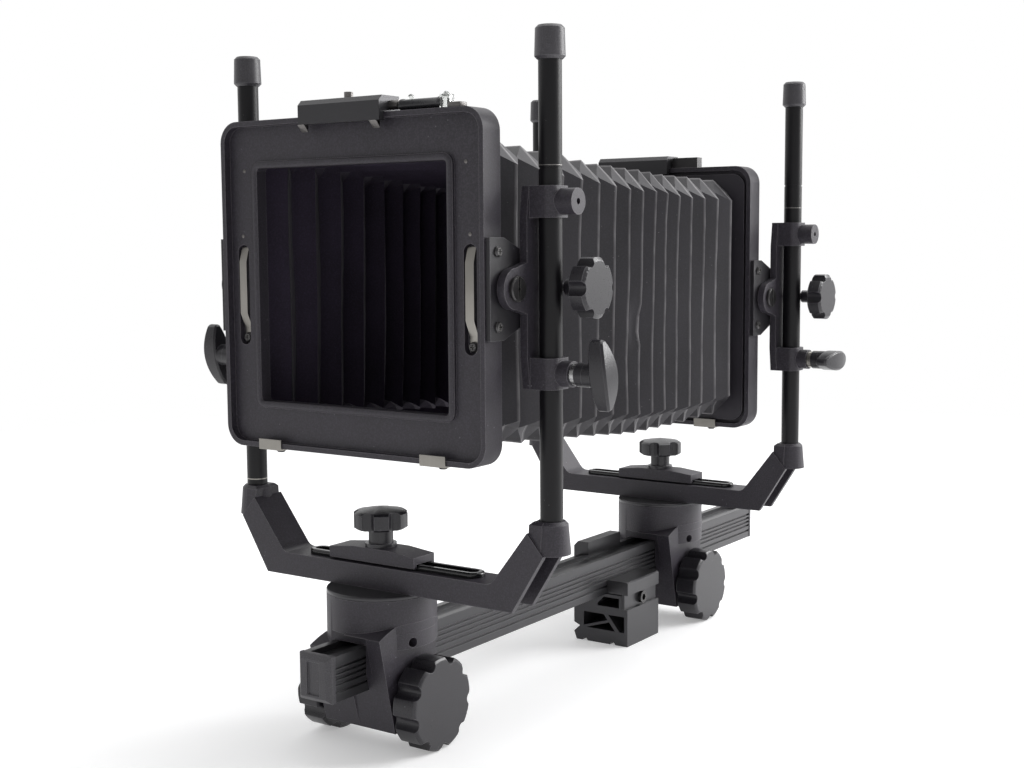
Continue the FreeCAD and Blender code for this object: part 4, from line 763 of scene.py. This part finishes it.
@dataclass
class PleatedBellows:
    """The square pleated bellows between the two frames."""

    start: Vector
    end: Vector
    groups: Sequence[FoldGroup]
    folds: int = 16
    ridge_half: float = 75.5 * MM
    valley_half: float = 67.5 * MM
    top_chamfer: float = 13.5 * MM
    bottom_chamfer: float = 13.0 * MM
    valley_chamfer: float = 0.6 * MM
    squeeze: float = 0.14
    lag: float = 0.0255
    sag: float = 4.5 * MM
    cloth: float = 0.8 * MM
    lean: float = 2.5 * MM
    seed: int = 7                     # of the sway and the ripples; zero would follow the clock
    sway: float = 1.5 * MM
    sway_cells: Triple = (14.0, 30.0, 14.0)
    ripple: float = 0.3 * MM
    ripple_cells: float = 80.0
    valley_share: float = 0.45        # of the unevenness that reaches the valley lines
    waist: float = 1.1 * MM
    tuck: float = 4.5 * MM
    held: float = 14.0 * MM           # from each board, where the cloth gets free to move
    dent: Triple = (0.078, -0.098, 0.214)
    dent_depth: float = 3.5 * MM
    dent_reach: float = 9.0 * MM
    short_edge: float = 30.0 * MM     # corner folds are shorter than this, and sides longer
    side_cuts: int = 15
    corner_cuts: int = 3
    fold_cuts: int = 3
    smooth: float = 22.0
    blend_margin: float = 0.3 * MM

    def sizes(self) -> dict[str, object]:
        """The inputs of the node tree, by name."""
        return {"Folds": self.folds, "Ridge half": self.ridge_half, "Valley half": self.valley_half,
                "Top chamfer": self.top_chamfer, "Bottom chamfer": self.bottom_chamfer,
                "Valley chamfer": self.valley_chamfer, "Squeeze": self.squeeze, "Lag": self.lag,
                "Sag": self.sag, "Start": self.start, "End": self.end}

    def layout(self, material: Material) -> LayoutScribe:
        """Write the node tree that lays out the pleats.

        Args:
            material: The cloth.

        Returns:
            Its scribe, with named inputs for the sizes.
        """
        kinds = {int: "Int", float: "Float", Vector: "Vector"}
        scribe = LayoutScribe("pleats", {name: kinds[type(value)] for name, value in self.sizes().items()})
        given, calc = scribe.given, scribe.math
        rows = calc("ADD", calc("MULTIPLY", given["Folds"], 2.0), 1.0)
        grid = scribe.out("GeometryNodeMeshGrid", {"Vertices X": 9, "Vertices Y": rows})
        index = scribe.out("GeometryNodeInputIndex")
        corner = calc("MODULO", calc("FLOOR", calc("DIVIDE", index, rows)), 8.0)
        row = calc("MODULO", index, rows)
        odd = calc("MODULO", row, 2.0)
        half = scribe.blend(odd, given["Valley half"], given["Ridge half"])
        top, bottom = (calc("SUBTRACT", half, scribe.blend(odd, given["Valley chamfer"], given[chamfer]))
                       for chamfer in ("Top chamfer", "Bottom chamfer"))
        minus_half, minus_top, minus_bottom = (calc("MULTIPLY", value, -1.0) for value in (half, top, bottom))
        across = (half, half, top, minus_top, minus_half, minus_half, minus_bottom, bottom)
        upward = (minus_bottom, top, half, half, top, minus_bottom, minus_half, minus_half)
        share = calc("DIVIDE", row, calc("SUBTRACT", rows, 1.0))
        wave = calc("SINE", calc("MULTIPLY", share, 2 * math.pi))
        squeezed = calc("MULTIPLY", calc("DIVIDE", given["Squeeze"], 2 * math.pi), wave)
        hump = calc("POWER", calc("SINE", calc("MULTIPLY", share, math.pi)), 2.0)
        place = calc("ADD", calc("ADD", share, squeezed), calc("MULTIPLY", given["Lag"], hump))
        hang = calc("MULTIPLY", given["Sag"], calc("SINE", calc("MULTIPLY", place, math.pi)))
        centre = scribe.add("ShaderNodeMix", {0: place, 4: given["Start"], 5: given["End"]},
                            data_type="VECTOR")
        height = calc("SUBTRACT", scribe.pick(corner, upward), hang)
        offset = scribe.out("ShaderNodeCombineXYZ", {0: scribe.pick(corner, across), 1: 0.0, 2: height})
        spot = scribe.out("ShaderNodeVectorMath", {0: centre.outputs[1], 1: offset}, operation="ADD")
        bent = scribe.out("GeometryNodeSetPosition", {"Geometry": grid, "Position": spot})
        scribe.end(scribe.out("GeometryNodeMergeByDistance", {"Geometry": bent, "Distance": SEAM}), material)
        return scribe

    def folded_sheet(self, material: Material) -> Mesh:
        """Lay out the folded sheet.

        Args:
            material: The cloth.

        Returns:
            A mesh of one quad for each side or corner of each fold.
        """
        thing = new_object("bellows_layout", bpy.data.meshes.new("bellows_layout"))
        mesh = self.layout(material).run(thing, self.sizes()).data
        bpy.data.objects.remove(thing)
        return mesh

    def line_places(self) -> list[float]:
        """Places along Y of every valley and ridge line.

        Returns:
            The places, from the front to the rear.
        """
        shares = [i / (2 * self.folds) for i in range(2 * self.folds + 1)]
        waves = [self.squeeze / (2 * math.pi) * math.sin(2 * math.pi * t) for t in shares]
        humps = [self.lag * math.sin(math.pi * t) ** 2 for t in shares]
        length = self.end.y - self.start.y
        return [self.start.y + length * sum(parts) for parts in zip(shares, waves, humps)]

    def calm(self, y: float) -> float:
        """How free the cloth is to move at a place along Y: 0 at the boards, 1 away from them."""
        return max(0.0, min(1.0, min(y - self.start.y, self.end.y - y) / self.held))

    def share_at(self, y: float) -> float:
        """How far along the bellows a place along Y is, from 0 to 1."""
        return (y - self.start.y) / (self.end.y - self.start.y)

    def centre_at(self, y: float) -> Vector:
        """The middle of the section at a place along Y."""
        share = self.share_at(y)
        hang = self.sag * math.sin(math.pi * max(0.0, min(1.0, share)))
        return self.start.lerp(self.end, share) - Vector((0.0, 0.0, hang))

    def rumple(self, point: Vector, fold: float) -> Vector:
        """Unevenness of the cloth at a point.

        Args:
            point: A point of the flat-sided bellows.
            fold: 1 on a ridge line and 0 on a valley line.

        Returns:
            How far the cloth has moved there.
        """
        middle = self.centre_at(point.y)
        sway = noise.noise_vector(point * Vector(self.sway_cells)) * self.sway
        ripple = noise.noise_vector(point * self.ripple_cells) * self.ripple
        moved = (sway + ripple) * (self.valley_share + (1.0 - self.valley_share) * fold)
        height = (point.z - middle.z) / self.ridge_half
        moved.y += self.lean * height * math.sin(math.pi * self.share_at(point.y))
        bow = 1.0 - min(1.0, abs(height)) ** 2
        moved.x -= math.copysign(self.waist * bow * fold, point.x - middle.x)
        away = (point - Vector(self.dent)).length / self.dent_reach
        if away < 1.0:
            moved.x -= self.dent_depth * (1.0 - away * away) ** 2
        return moved * self.calm(point.y)

    def tucked(self, point: Vector, fold: float) -> Vector:
        """The small fold in a lower corner.

        Args:
            point: A point of the flat-sided bellows.
            fold: 1 on a ridge line and 0 on a valley line.

        Returns:
            How far the fold pulls the point in towards the middle.
        """
        middle = self.centre_at(point.y)
        across, down = abs(point.x - middle.x), middle.z - point.z
        half = self.valley_half + (self.ridge_half - self.valley_half) * fold
        corner = self.bottom_chamfer * fold
        if corner < MM or down < half - corner or across < half - corner:
            return Vector((0.0, 0.0, 0.0))
        along = max(0.0, min(1.0, (half - across) / corner))
        depth = self.tuck * fold * math.sin(math.pi * along)
        return Vector((-math.copysign(depth, point.x - middle.x), 0.0, depth)) * math.sqrt(0.5)

    def divide(self, shape: Shape) -> None:
        """Divide the sheet, marking its lengthwise corners in the layer "mitre".

        Args:
            shape: The folded sheet of one quad for each side or corner of each fold.
        """
        mitre = shape.verts.layers.float.new("mitre")
        for vert in shape.verts:
            vert[mitre] = 1.0
        across = [e for e in shape.edges if abs(e.verts[0].co.y - e.verts[1].co.y) <= MM]
        sides = [e for e in across if e.calc_length() > self.short_edge]
        corners = [e for e in across if e.calc_length() <= self.short_edge]
        for cuts, chosen in ((self.side_cuts, sides), (self.corner_cuts, corners)):
            known = set(shape.verts)
            bmesh.ops.subdivide_edges(shape, edges=chosen, cuts=cuts, use_grid_fill=True)
            for vert in shape.verts:
                if vert not in known:
                    vert[mitre] = 0.0
        lengthwise = [e for e in shape.edges if abs(e.verts[0].co.y - e.verts[1].co.y) > MM]
        bmesh.ops.subdivide_edges(shape, edges=lengthwise, cuts=self.fold_cuts, use_grid_fill=True)

    def cloth_mesh(self, material: Material) -> Mesh:
        """The whole sheet, divided finely enough to drape and with its fold lines marked.

        Args:
            material: The cloth.

        Returns:
            The mesh, with the float attributes "crease" and "mitre" and an integer face attribute "strip".
        """
        noise.seed_set(self.seed)
        mesh = self.folded_sheet(material)
        lines = self.line_places()
        shape = bmesh.new()
        shape.from_mesh(mesh)
        strip = shape.faces.layers.int.new("strip")
        for face in shape.faces:
            middle = sum(v.co.y for v in face.verts) / len(face.verts)
            face[strip] = sum(middle > y for y in lines) - 1
        self.divide(shape)
        crease = shape.verts.layers.float.new("crease")
        for vert in shape.verts:
            near = min(range(len(lines)), key=lambda i: abs(lines[i] - vert.co.y))
            other = max(0, min(len(lines) - 1, near + (1 if vert.co.y > lines[near] else -1)))
            span = abs(lines[other] - lines[near]) or 1.0
            away = min(1.0, abs(vert.co.y - lines[near]) / span)
            vert[crease] = 1 - away if near % 2 else away
        bmesh.ops.recalc_face_normals(shape, faces=shape.faces)
        for vert in shape.verts:
            flat = vert.co.copy()
            vert.co = flat + self.rumple(flat, vert[crease]) + self.tucked(flat, vert[crease])
        shape.to_mesh(mesh)
        shape.free()
        return mesh

    @staticmethod
    def line_reach(mesh: Mesh, line: int) -> tuple[float, float]:
        """The least and greatest Y of a fold line after it has been rumpled.

        Args:
            mesh: The whole sheet.
            line: The line's number; the first and last line have no strip on one side.

        Returns:
            Both places along Y.
        """
        strips = mesh.attributes["strip"].data
        before, after = ({i for face in mesh.polygons if strips[face.index].value == number
                          for i in face.vertices} for number in (line - 1, line))
        places = [mesh.vertices[i].co.y for i in before & after]
        return min(places), max(places)

    def piece(self, group: FoldGroup, whole: Mesh) -> Object:
        """Cut one run out of the sheet and thicken it.

        Args:
            group: The run.
            whole: The whole sheet.

        Returns:
            The run of folds.
        """
        mesh = whole.copy()
        with worked(mesh) as shape:
            strip = shape.faces.layers.int["strip"]
            spare = [f for f in shape.faces if not group.first_line <= f[strip] < group.last_line]
            bmesh.ops.delete(shape, geom=spare, context="FACES")
        piece = new_object(group.name, mesh)
        wall = piece.modifiers.new("cloth", "SOLIDIFY")
        wall.thickness = self.cloth
        wall.offset = -1.0
        wall.use_rim = True
        wall.material_offset = 1
        baked(piece)
        smooth_by_angle(piece.data, self.smooth)
        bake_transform(piece)
        LOG.info("bellows run %s: %d faces", group.name, len(piece.data.polygons))
        return piece

    def build(self, paints: Paintbox) -> None:
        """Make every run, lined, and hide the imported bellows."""
        whole = self.cloth_mesh(paints["bellows_cloth"])
        whole.materials.append(paints["bellows_lining"])
        made = [self.piece(group, whole) for group in self.groups]
        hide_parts("bellows")


def fold_groups() -> list[FoldGroup]:
    """Runs of folds, each between two bodies that one joint links.

    Returns:
        The front standard's runs, from its frame to the rail, and then the rear standard's.
    """
    chain = ("frame", "riser", "yoke", "turntable", "carriage", "rail")
    joints = ("tilt", "rise", "shift", "swing", "focus")
    front_lines, rear_lines = (0, 2, 5, 7, 11, 16), (32, 30, 27, 25, 21, 16)
    groups = []
    for end, lines in (("front", front_lines), ("rear", rear_lines)):
        bodies = [link if link == "rail" else f"{end}_{link}" for link in chain]
        for joint, near, far, body, inner in zip(joints, lines, lines[1:], bodies, bodies[1:]):
            ends = (near, far, body, inner) if end == "front" else (far, near, inner, body)
            groups.append(FoldGroup(f"bellows_{joint}_{end}", *ends))
    return groups


def build_bellows(paints: Paintbox) -> None:
    """Hang the bellows between the boards that it is glued to."""
    front_low, front_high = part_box("bellows_front_board")
    rear_low, rear_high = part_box("bellows_rear_board")
    start, end = (front_low + front_high) / 2, (rear_low + rear_high) / 2
    start.y, end.y = front_high.y, rear_low.y
    PleatedBellows(start, end, fold_groups()).build(paints)


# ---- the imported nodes
def node_roundings() -> dict[str, Rounding]:
    """How each node is rounded.

    Returns:
        The rounding of each node that isn't left as packed, by its name without the standard.
    """
    widths = {
        0.7: ("yoke",), 0.6: ("bracket_left", "bracket_right", "frame"), 0.5: ("clamp_plate",),
        0.3: ("swing_disc", "slot_liner", "rod_caps", "lock_bar", "rail_end_caps", "tripod_block",
              "tripod_jaw"),
        0.25: ("set_screws", "side_plates"), 0.2: ("pivot_screws", "lock_studs"),
    }
    return {node: Rounding(width * MM) for width, nodes in widths.items() for node in nodes} | {
        "carriage": Rounding(1.2 * MM, 3), "rail": Rounding(0.15 * MM, 1),
        "frame_springs": Rounding(0.12 * MM, 1), "wing_knob_left": Rounding(0.9 * MM, 3),
        "wing_knob_right": Rounding(0.9 * MM, 3), "focus_knob": Rounding(0.7 * MM, 3, 1.7),
        "focus_lock_knob": Rounding(0.7 * MM, 3, 1.7), "tilt_knob": Rounding(0.6 * MM, 3, 1.6),
        "shift_knob": Rounding(0.6 * MM, 3, 1.5, axis=2),
    }


@dataclass
class CameraDress:
    """Puts the finishes on every node and rounds the ones that are cast, moulded or sheet."""

    paints: Paintbox
    frame: dict
    smooth: float = 30.0
    roundings: dict[str, Rounding] = field(default_factory=node_roundings)
    finish_of: dict[str, str] = field(default_factory=lambda: {
        "front_lock_rod": "dull_steel", "rear_lock_rod": "black_steel", "front_lock_studs": "steel",
        "front_set_screws": "dull_steel", "rear_set_screws": "dull_steel",
    })

    def body_of(self, node: str) -> str:
        """The body that carries a node."""
        bodies = self.frame["record"]["behaviour"]["bodies"]
        return next(body for body, nodes in bodies.items() if node in nodes)

    def dress(self) -> None:
        """Finish every node: in its record's slot finish, or in one of its own."""
        for part in self.frame["record"]["subparts"]:
            node, slot = part["node"], part["material_slot"]
            thing = self.frame["nodes"][node]
            material = self.paints[self.finish_of.get(node, slot)]
            thing.data.materials.clear()
            thing.data.materials.append(material)
            smooth_by_angle(thing.data, self.smooth)
            rounding = self.roundings.get(node.removeprefix("front_").removeprefix("rear_"))
            if rounding is None:
                continue
            piece = rounding.copy_of(thing, material)
            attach(piece, self.body_of(node))
            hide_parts(node)
            LOG.info("rounded %s: %d faces", node, len(piece.data.polygons))


# ---- small fittings
@dataclass
class Fittings:
    """What the small fittings of a standard share: its finishes and how they are handed in."""

    paints: Paintbox
    end: str = "front"

    def box(self, node: str) -> tuple[Vector, Vector]:
        """Lowest and highest corners of one of the standard's nodes."""
        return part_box(f"{self.end}_{node}")

    def hand_in(self, piece: Object, body: str, finish: str, slot: str) -> None:
        """Give a piece its finish and body.

        Args:
            piece: The finished piece.
            body: The standard's body that it rides on.
            finish: The name of its finish.
            slot: The record's slot it belongs to; not used.
        """
        piece.data.materials.clear()
        piece.data.materials.append(self.paints[finish])
        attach(piece, f"{self.end}_{body}")
        LOG.info("fitted %s: %d faces", piece.name, len(piece.data.polygons))


@dataclass
class SpiritLevel(Fittings):
    """The tubular level on the front frame: a dark sleeve, two clear beads and a clear end block."""

    sleeve_radius: float = 2.9 * MM
    sleeve_step: float = 0.3 * MM
    rim: float = 0.5 * MM
    end_length: float = 12.0 * MM
    block_length: float = 4.6 * MM
    block_height: float = 6.6 * MM
    foot_height: float = 2.6 * MM
    edge: float = 0.5 * MM
    bead_radius: float = 1.5 * MM
    bead_seat: float = 0.6 * MM
    bead_margin: float = 6.0 * MM
    block_bead_margin: float = 2.0 * MM

    def build(self) -> None:
        """Make the sleeve, the block with its foot, and the beads."""
        low, high = self.box("spirit_level")
        middle = Vector((0.0, (low.y + high.y) / 2, low.z + self.sleeve_radius))
        start, end = low.x, high.x - self.end_length
        radius, rim = self.sleeve_radius, self.rim
        waist = radius - self.sleeve_step
        profile = [(start, 0.0), (start, radius - rim), (start + rim, radius), (start + 4 * rim, radius),
                   (start + 5 * rim, waist), (end - 5 * rim, waist), (end - 4 * rim, radius),
                   (end - rim, radius), (end, radius - rim), (end, 0.0)]
        sleeve = Turning("front_level_sleeve", middle, profile).build()
        self.hand_in(sleeve, "frame", "level_tube", "level_tube")
        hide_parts("front_spirit_level")
        block_end, y0, y1 = end + self.block_length, middle.y - radius, middle.y + radius
        for name, height, left, right, segments, finish in (
                ("end_block", self.block_height, end, block_end, 3, "clear_plastic"),
                ("foot", self.foot_height, block_end, high.x, 2, "dull_steel")):
            section = [(y0, low.z), (y1, low.z), (y1, low.z + height), (y0, low.z + height)]
            bar = prism(f"front_level_{name}", section, left, right)
            self.hand_in(Rounding(self.edge, segments).apply(bar), "frame", finish, "level_tube")
        places = [Vector((start + self.bead_margin, middle.y, low.z + 2 * radius + self.bead_seat)),
                  Vector((end + self.block_bead_margin, middle.y, low.z + self.block_height))]
        beads = RepeatedParts("front_level_beads", Spread.PINS, places, self.bead_radius, self.bead_radius)
        self.hand_in(beads.build(self.paints["clear_plastic"]), "frame", "clear_plastic", "level_tube")


@dataclass
class PanelPins(Fittings):
    """Small pin heads pressed into a frame's front panel."""

    size: float = 1.0 * MM
    crown: float = 0.35 * MM
    across: float = 73.2 * MM
    rises: tuple[float, float] = (25.5 * MM, 59.0 * MM)
    drift: float = 0.06               # how far the upper pair stands in, for each metre of rise
    panel_depth: float = 4.0 * MM

    def build(self) -> None:
        """Set the pins into the frame's panel."""
        low, high = self.box("frame")
        middle = (low + high) / 2
        places = [Vector((middle.x + side * (self.across - (rise - self.rises[0]) * self.drift),
                          low.y + self.panel_depth, middle.z + rise))
                  for rise in self.rises for side in (-1, 1)]
        pins = RepeatedParts("front_panel_pins", Spread.PINS, places, self.size, self.crown)
        self.hand_in(pins.build(self.paints["dull_steel"]), "frame", "dull_steel", "black_casting")


@dataclass
class BoardLockHooks(Fittings):
    """Bare bevelled tips of the hooks that hold the lens board."""

    drop: float = 3.6 * MM
    width: float = 4.5 * MM
    spread: float = 23.0 * MM
    shift: float = -1.5 * MM
    apron: float = 4.0 * MM
    inset: float = 0.2 * MM
    edge: float = 0.25 * MM

    def build(self) -> None:
        """Make both tips of the standard."""
        bar_low, _ = self.box("lock_bar")
        frame_low, frame_high = self.box("frame")
        middle = (frame_low.x + frame_high.x) / 2
        top = frame_high.z - self.apron
        face = frame_low.y - self.inset
        section = [(bar_low.y + self.inset, top), (face, top), (face, top - self.drop)]
        for name, side in (("left", -1), ("right", 1)):
            x = middle + side * self.spread + self.shift
            tip = prism(f"{self.end}_hook_tip_{name}", section, x - self.width / 2, x + self.width / 2)
            self.hand_in(Rounding(self.edge).apply(tip), "board_lock", "dull_steel", "black_anodised")


@dataclass
class StudCollars(Fittings):
    """Dark collars on the studs of the wing knobs."""

    bore: float = 5.25 * MM
    radius: float = 5.75 * MM
    length: float = 4.4 * MM
    overlap: float = 0.3 * MM
    edge: float = 0.35 * MM

    def build(self) -> None:
        """Make the collar on both sides of the standard."""
        for name, side in (("left", -1), ("right", 1)):
            low, high = self.box(f"wing_knob_{name}")
            centre = Vector((low.x if side > 0 else high.x, (low.y + high.y) / 2, (low.z + high.z) / 2))
            far, near = -side * self.length, side * self.overlap
            profile = [(far, self.bore), (far, self.radius - self.edge),
                       (far + side * self.edge, self.radius), (near, self.radius), (near, self.bore),
                       (far, self.bore)]
            collar = Turning(f"{self.end}_stud_collar_{name}", centre, profile).build()
            self.hand_in(collar, f"rise_lock_{name}", "knob_plastic", "knob_plastic")


@dataclass
class IndexRings(Fittings):
    """Fine bright rings turned round the upright rods, and a bright steel ring at the left rod's foot that is
    a painted highlight of the socket's top.
    """

    height_over_bracket: float = 9.5 * MM
    wire: float = 0.28 * MM
    depth: float = 0.18 * MM
    foot_rise: float = 3.4 * MM
    foot_wire: float = 2.2 * MM
    foot_depth: float = 2.05 * MM

    def build(self) -> None:
        """Lay the rings on both rods of the standard."""
        low, high = self.box("rods")
        radius, y = (high.y - low.y) / 2, (low.y + high.y) / 2
        _, bracket = self.box("bracket_right")
        _, socket = self.box("yoke")
        left, right = low.x + radius, high.x - radius
        upper = [Vector((x, y, bracket.z + self.height_over_bracket)) for x in (left, right)]
        lower = [Vector((left, y, socket.z + self.foot_rise))]
        for name, places, depth, wire, finish in (
                ("index_rings", upper, self.depth, self.wire, "dull_steel"),
                # the ring at the left rod's foot is a painted highlight: bright steel where the socket's top
                # catches the light
                ("foot_highlight_ring", lower, self.foot_depth, self.foot_wire, "bright_steel")):
            rings = RepeatedParts(f"{self.end}_{name}", Spread.RINGS, places, radius - depth, wire)
            self.hand_in(rings.build(self.paints[finish]), "yoke", finish, "black_rod")


@dataclass
class OpeningBead(Fittings):
    """The rounded bead round a frame's opening."""

    half_across: float = 61.0 * MM
    half_up: float = 60.0 * MM
    corner: float = 2.0 * MM
    rib_depth: float = 2.5 * MM
    width: float = 3.3 * MM
    crown: float = 0.9 * MM
    arc_steps: int = 6
    profile_steps: int = 8
    smooth: float = 60.0

    def ring(self, shape: Shape, hub: Vector, angle: float) -> list[bmesh.types.BMVert]:
        """One section of the bead.

        Args:
            shape: The shape to add it to.
            hub: The middle of the corner's rounding.
            angle: Which way it faces from there.

        Returns:
            Its points, from the opening outwards.
        """
        out = Vector((math.cos(angle), 0.0, math.sin(angle)))
        points = []
        for step in range(self.profile_steps + 1):
            turn = math.pi * step / self.profile_steps
            away = self.corner + self.width / 2 * (1 - math.cos(turn))
            points.append(shape.verts.new(hub + out * away - Vector((0.0, self.crown * math.sin(turn), 0.0))))
        return points

    def build(self) -> None:
        """Sweep the bead round the opening of the frame."""
        low, high = self.box("frame")
        middle = (low + high) / 2
        shape = bmesh.new()
        rings = []
        for right, up, start in ((1, 1, 0.0), (-1, 1, 90.0), (-1, -1, 180.0), (1, -1, 270.0)):
            hub = Vector((middle.x + right * (self.half_across - self.corner), low.y + self.rib_depth,
                          middle.z + up * (self.half_up - self.corner)))
            rings += [self.ring(shape, hub, math.radians(start + 90.0 * step / self.arc_steps))
                      for step in range(self.arc_steps + 1)]
        for first, second in zip(rings, rings[1:] + rings[:1]):
            for i in range(self.profile_steps):
                shape.faces.new((first[i], first[i + 1], second[i + 1], second[i]))
            shape.faces.new((first[-1], first[0], second[0], second[-1]))
        bead = shape_to_object(f"{self.end}_opening_bead", shape)
        smooth_by_angle(bead.data, self.smooth)
        self.hand_in(bead, "frame", "black_casting", "black_casting")


def build_fittings(paints: Paintbox) -> None:
    """Make every small fitting."""
    SpiritLevel(paints).build()
    PanelPins(paints).build()
    for end in ("front", "rear"):
        for kind in (BoardLockHooks, StudCollars, IndexRings):
            kind(paints, end).build()
    OpeningBead(paints).build()


# ---- stage
@dataclass(frozen=True)
class Lamp:
    """A soft square lamp."""

    name: str
    place: Triple
    size: float
    power: float

    def build(self, target: Vector) -> None:
        """Hang the lamp and point it at a target."""
        data = bpy.data.lights.new(self.name, "AREA")
        data.shape = "SQUARE"
        data.size = self.size
        data.energy = self.power
        thing = new_object(self.name, data)
        thing.location = self.place
        thing.rotation_euler = (target - Vector(self.place)).to_track_quat("-Z", "Y").to_euler()


@dataclass
class Studio:
    """White floor, soft lamps and the camera."""

    viewpoint: Triple = (0.47665, -0.8048, 0.2628)
    yaw: float = math.radians(34.54)
    pitch: float = math.radians(5.80)
    roll: float = math.radians(-0.38)
    lens: float = 50.36
    clip: tuple[float, float] = (0.01, 60.0)
    floor_size: float = 14.0
    floor_roughness: float = 0.7
    floor_shine: float = 0.1
    floor_colour: Triple = (0.86, 0.86, 0.865)
    floor_glow: float = 0.3
    floor_fade: tuple[float, float] = (0.45, 1.3)
    sky_light: float = 1.05
    dim_light: float = 0.43
    dim_turn: tuple[float, float] = (-0.3, 0.25)
    target: Triple = (0.0, -0.05, 0.2)
    lamps: tuple[Lamp, ...] = (Lamp("top_lamp", (0.0, 0.5, 1.9), 1.6, 16.0),
                               Lamp("right_lamp", (1.25, 1.3, 0.98), 1.2, 40.0))

    def camera(self) -> None:
        """Place the camera."""
        ahead = math.cos(self.pitch)
        forward = Vector((-math.sin(self.yaw) * ahead, math.cos(self.yaw) * ahead, -math.sin(self.pitch)))
        level = Vector((math.cos(self.yaw), math.sin(self.yaw), 0.0))
        upward = level.cross(forward)
        right = level * math.cos(self.roll) + upward * math.sin(self.roll)
        up = upward * math.cos(self.roll) - level * math.sin(self.roll)
        data = bpy.data.cameras.new("viewpoint")
        data.lens = self.lens
        data.clip_start, data.clip_end = self.clip
        thing = new_object("viewpoint", data)
        turn = Matrix((right, up, -forward)).transposed().to_4x4()
        thing.matrix_world = Matrix.Translation(Vector(self.viewpoint)) @ turn
        bpy.context.scene.camera = thing

    def world(self) -> None:
        """White surroundings with a dim side behind the camera: full white where they are seen."""
        world = bpy.data.worlds.new("studio")
        bpy.context.scene.world = world
        world.use_nodes = True
        scribe = ShaderScribe(world.node_tree)
        rays = scribe.add("ShaderNodeLightPath").outputs
        seen = scribe.math("MAXIMUM", rays["Is Camera Ray"], rays["Is Transmission Ray"])
        direction = scribe.add("ShaderNodeTexCoord").outputs["Generated"]
        dim_side = Vector((math.sin(self.yaw), -math.cos(self.yaw), 0.0))
        facing = scribe.add("ShaderNodeVectorMath", {0: direction, 1: dim_side}, operation="DOT_PRODUCT")
        around = scribe.ramp(facing.outputs["Value"], *self.dim_turn, self.sky_light, self.dim_light)
        sky = world.node_tree.nodes["Background"]
        scribe.fill(sky, {"Color": WHITE, "Strength": scribe.blend(seen, around, 1.0)})

    def floor(self) -> None:
        """A pale floor that fades to white far from the camera."""
        half = self.floor_size / 2
        corners = [(x * half, y * half, 0) for x, y in ((-1, -1), (1, -1), (1, 1), (-1, 1))]
        mesh = bpy.data.meshes.new("floor")
        mesh.from_pydata(corners, [], [(0, 1, 2, 3)])
        floor = new_object("floor", mesh)
        material = bpy.data.materials.new("pale_floor")
        material.use_nodes = True
        scribe = ShaderScribe(material.node_tree)
        surface = material.node_tree.nodes["Principled BSDF"]
        place = scribe.add("ShaderNodeTexCoord").outputs["Object"]
        far = scribe.add("ShaderNodeVectorMath", {0: place}, operation="LENGTH").outputs["Value"]
        rays = scribe.add("ShaderNodeLightPath").outputs
        seen = scribe.math("MAXIMUM", rays["Is Camera Ray"], rays["Is Glossy Ray"])
        fade = scribe.math("MULTIPLY", scribe.ramp(far, *self.floor_fade), seen)
        glow = scribe.math("MULTIPLY", seen, self.floor_glow)
        scribe.fill(surface, {"Base Color": (*self.floor_colour, 1.0), "Roughness": self.floor_roughness,
                              "Specular IOR Level": self.floor_shine, "Emission Color": WHITE,
                              "Emission Strength": glow})
        white = scribe.out("ShaderNodeEmission", {"Color": WHITE, "Strength": 1.0})
        blend = scribe.out("ShaderNodeMixShader", {0: fade, 1: surface.outputs[0], 2: white})
        scribe.feed(material.node_tree.nodes["Material Output"].inputs["Surface"], blend)
        mesh.materials.append(material)

    def build(self) -> None:
        """Set the stage."""
        self.camera()
        self.world()
        self.floor()
        for lamp in self.lamps:
            lamp.build(Vector(self.target))
        bpy.context.scene.view_settings.view_transform = "Standard"


def main() -> None:
    """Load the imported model, dress it and set the stage."""
    logging.basicConfig(level=logging.INFO, format="%(name)s: %(message)s")
    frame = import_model()
    paints = Paintbox()
    CameraDress(paints, frame).dress()
    build_bellows(paints)
    build_fittings(paints)
    Studio().build()
    bpy.context.view_layer.update()


if __name__ == "__main__":
    main()
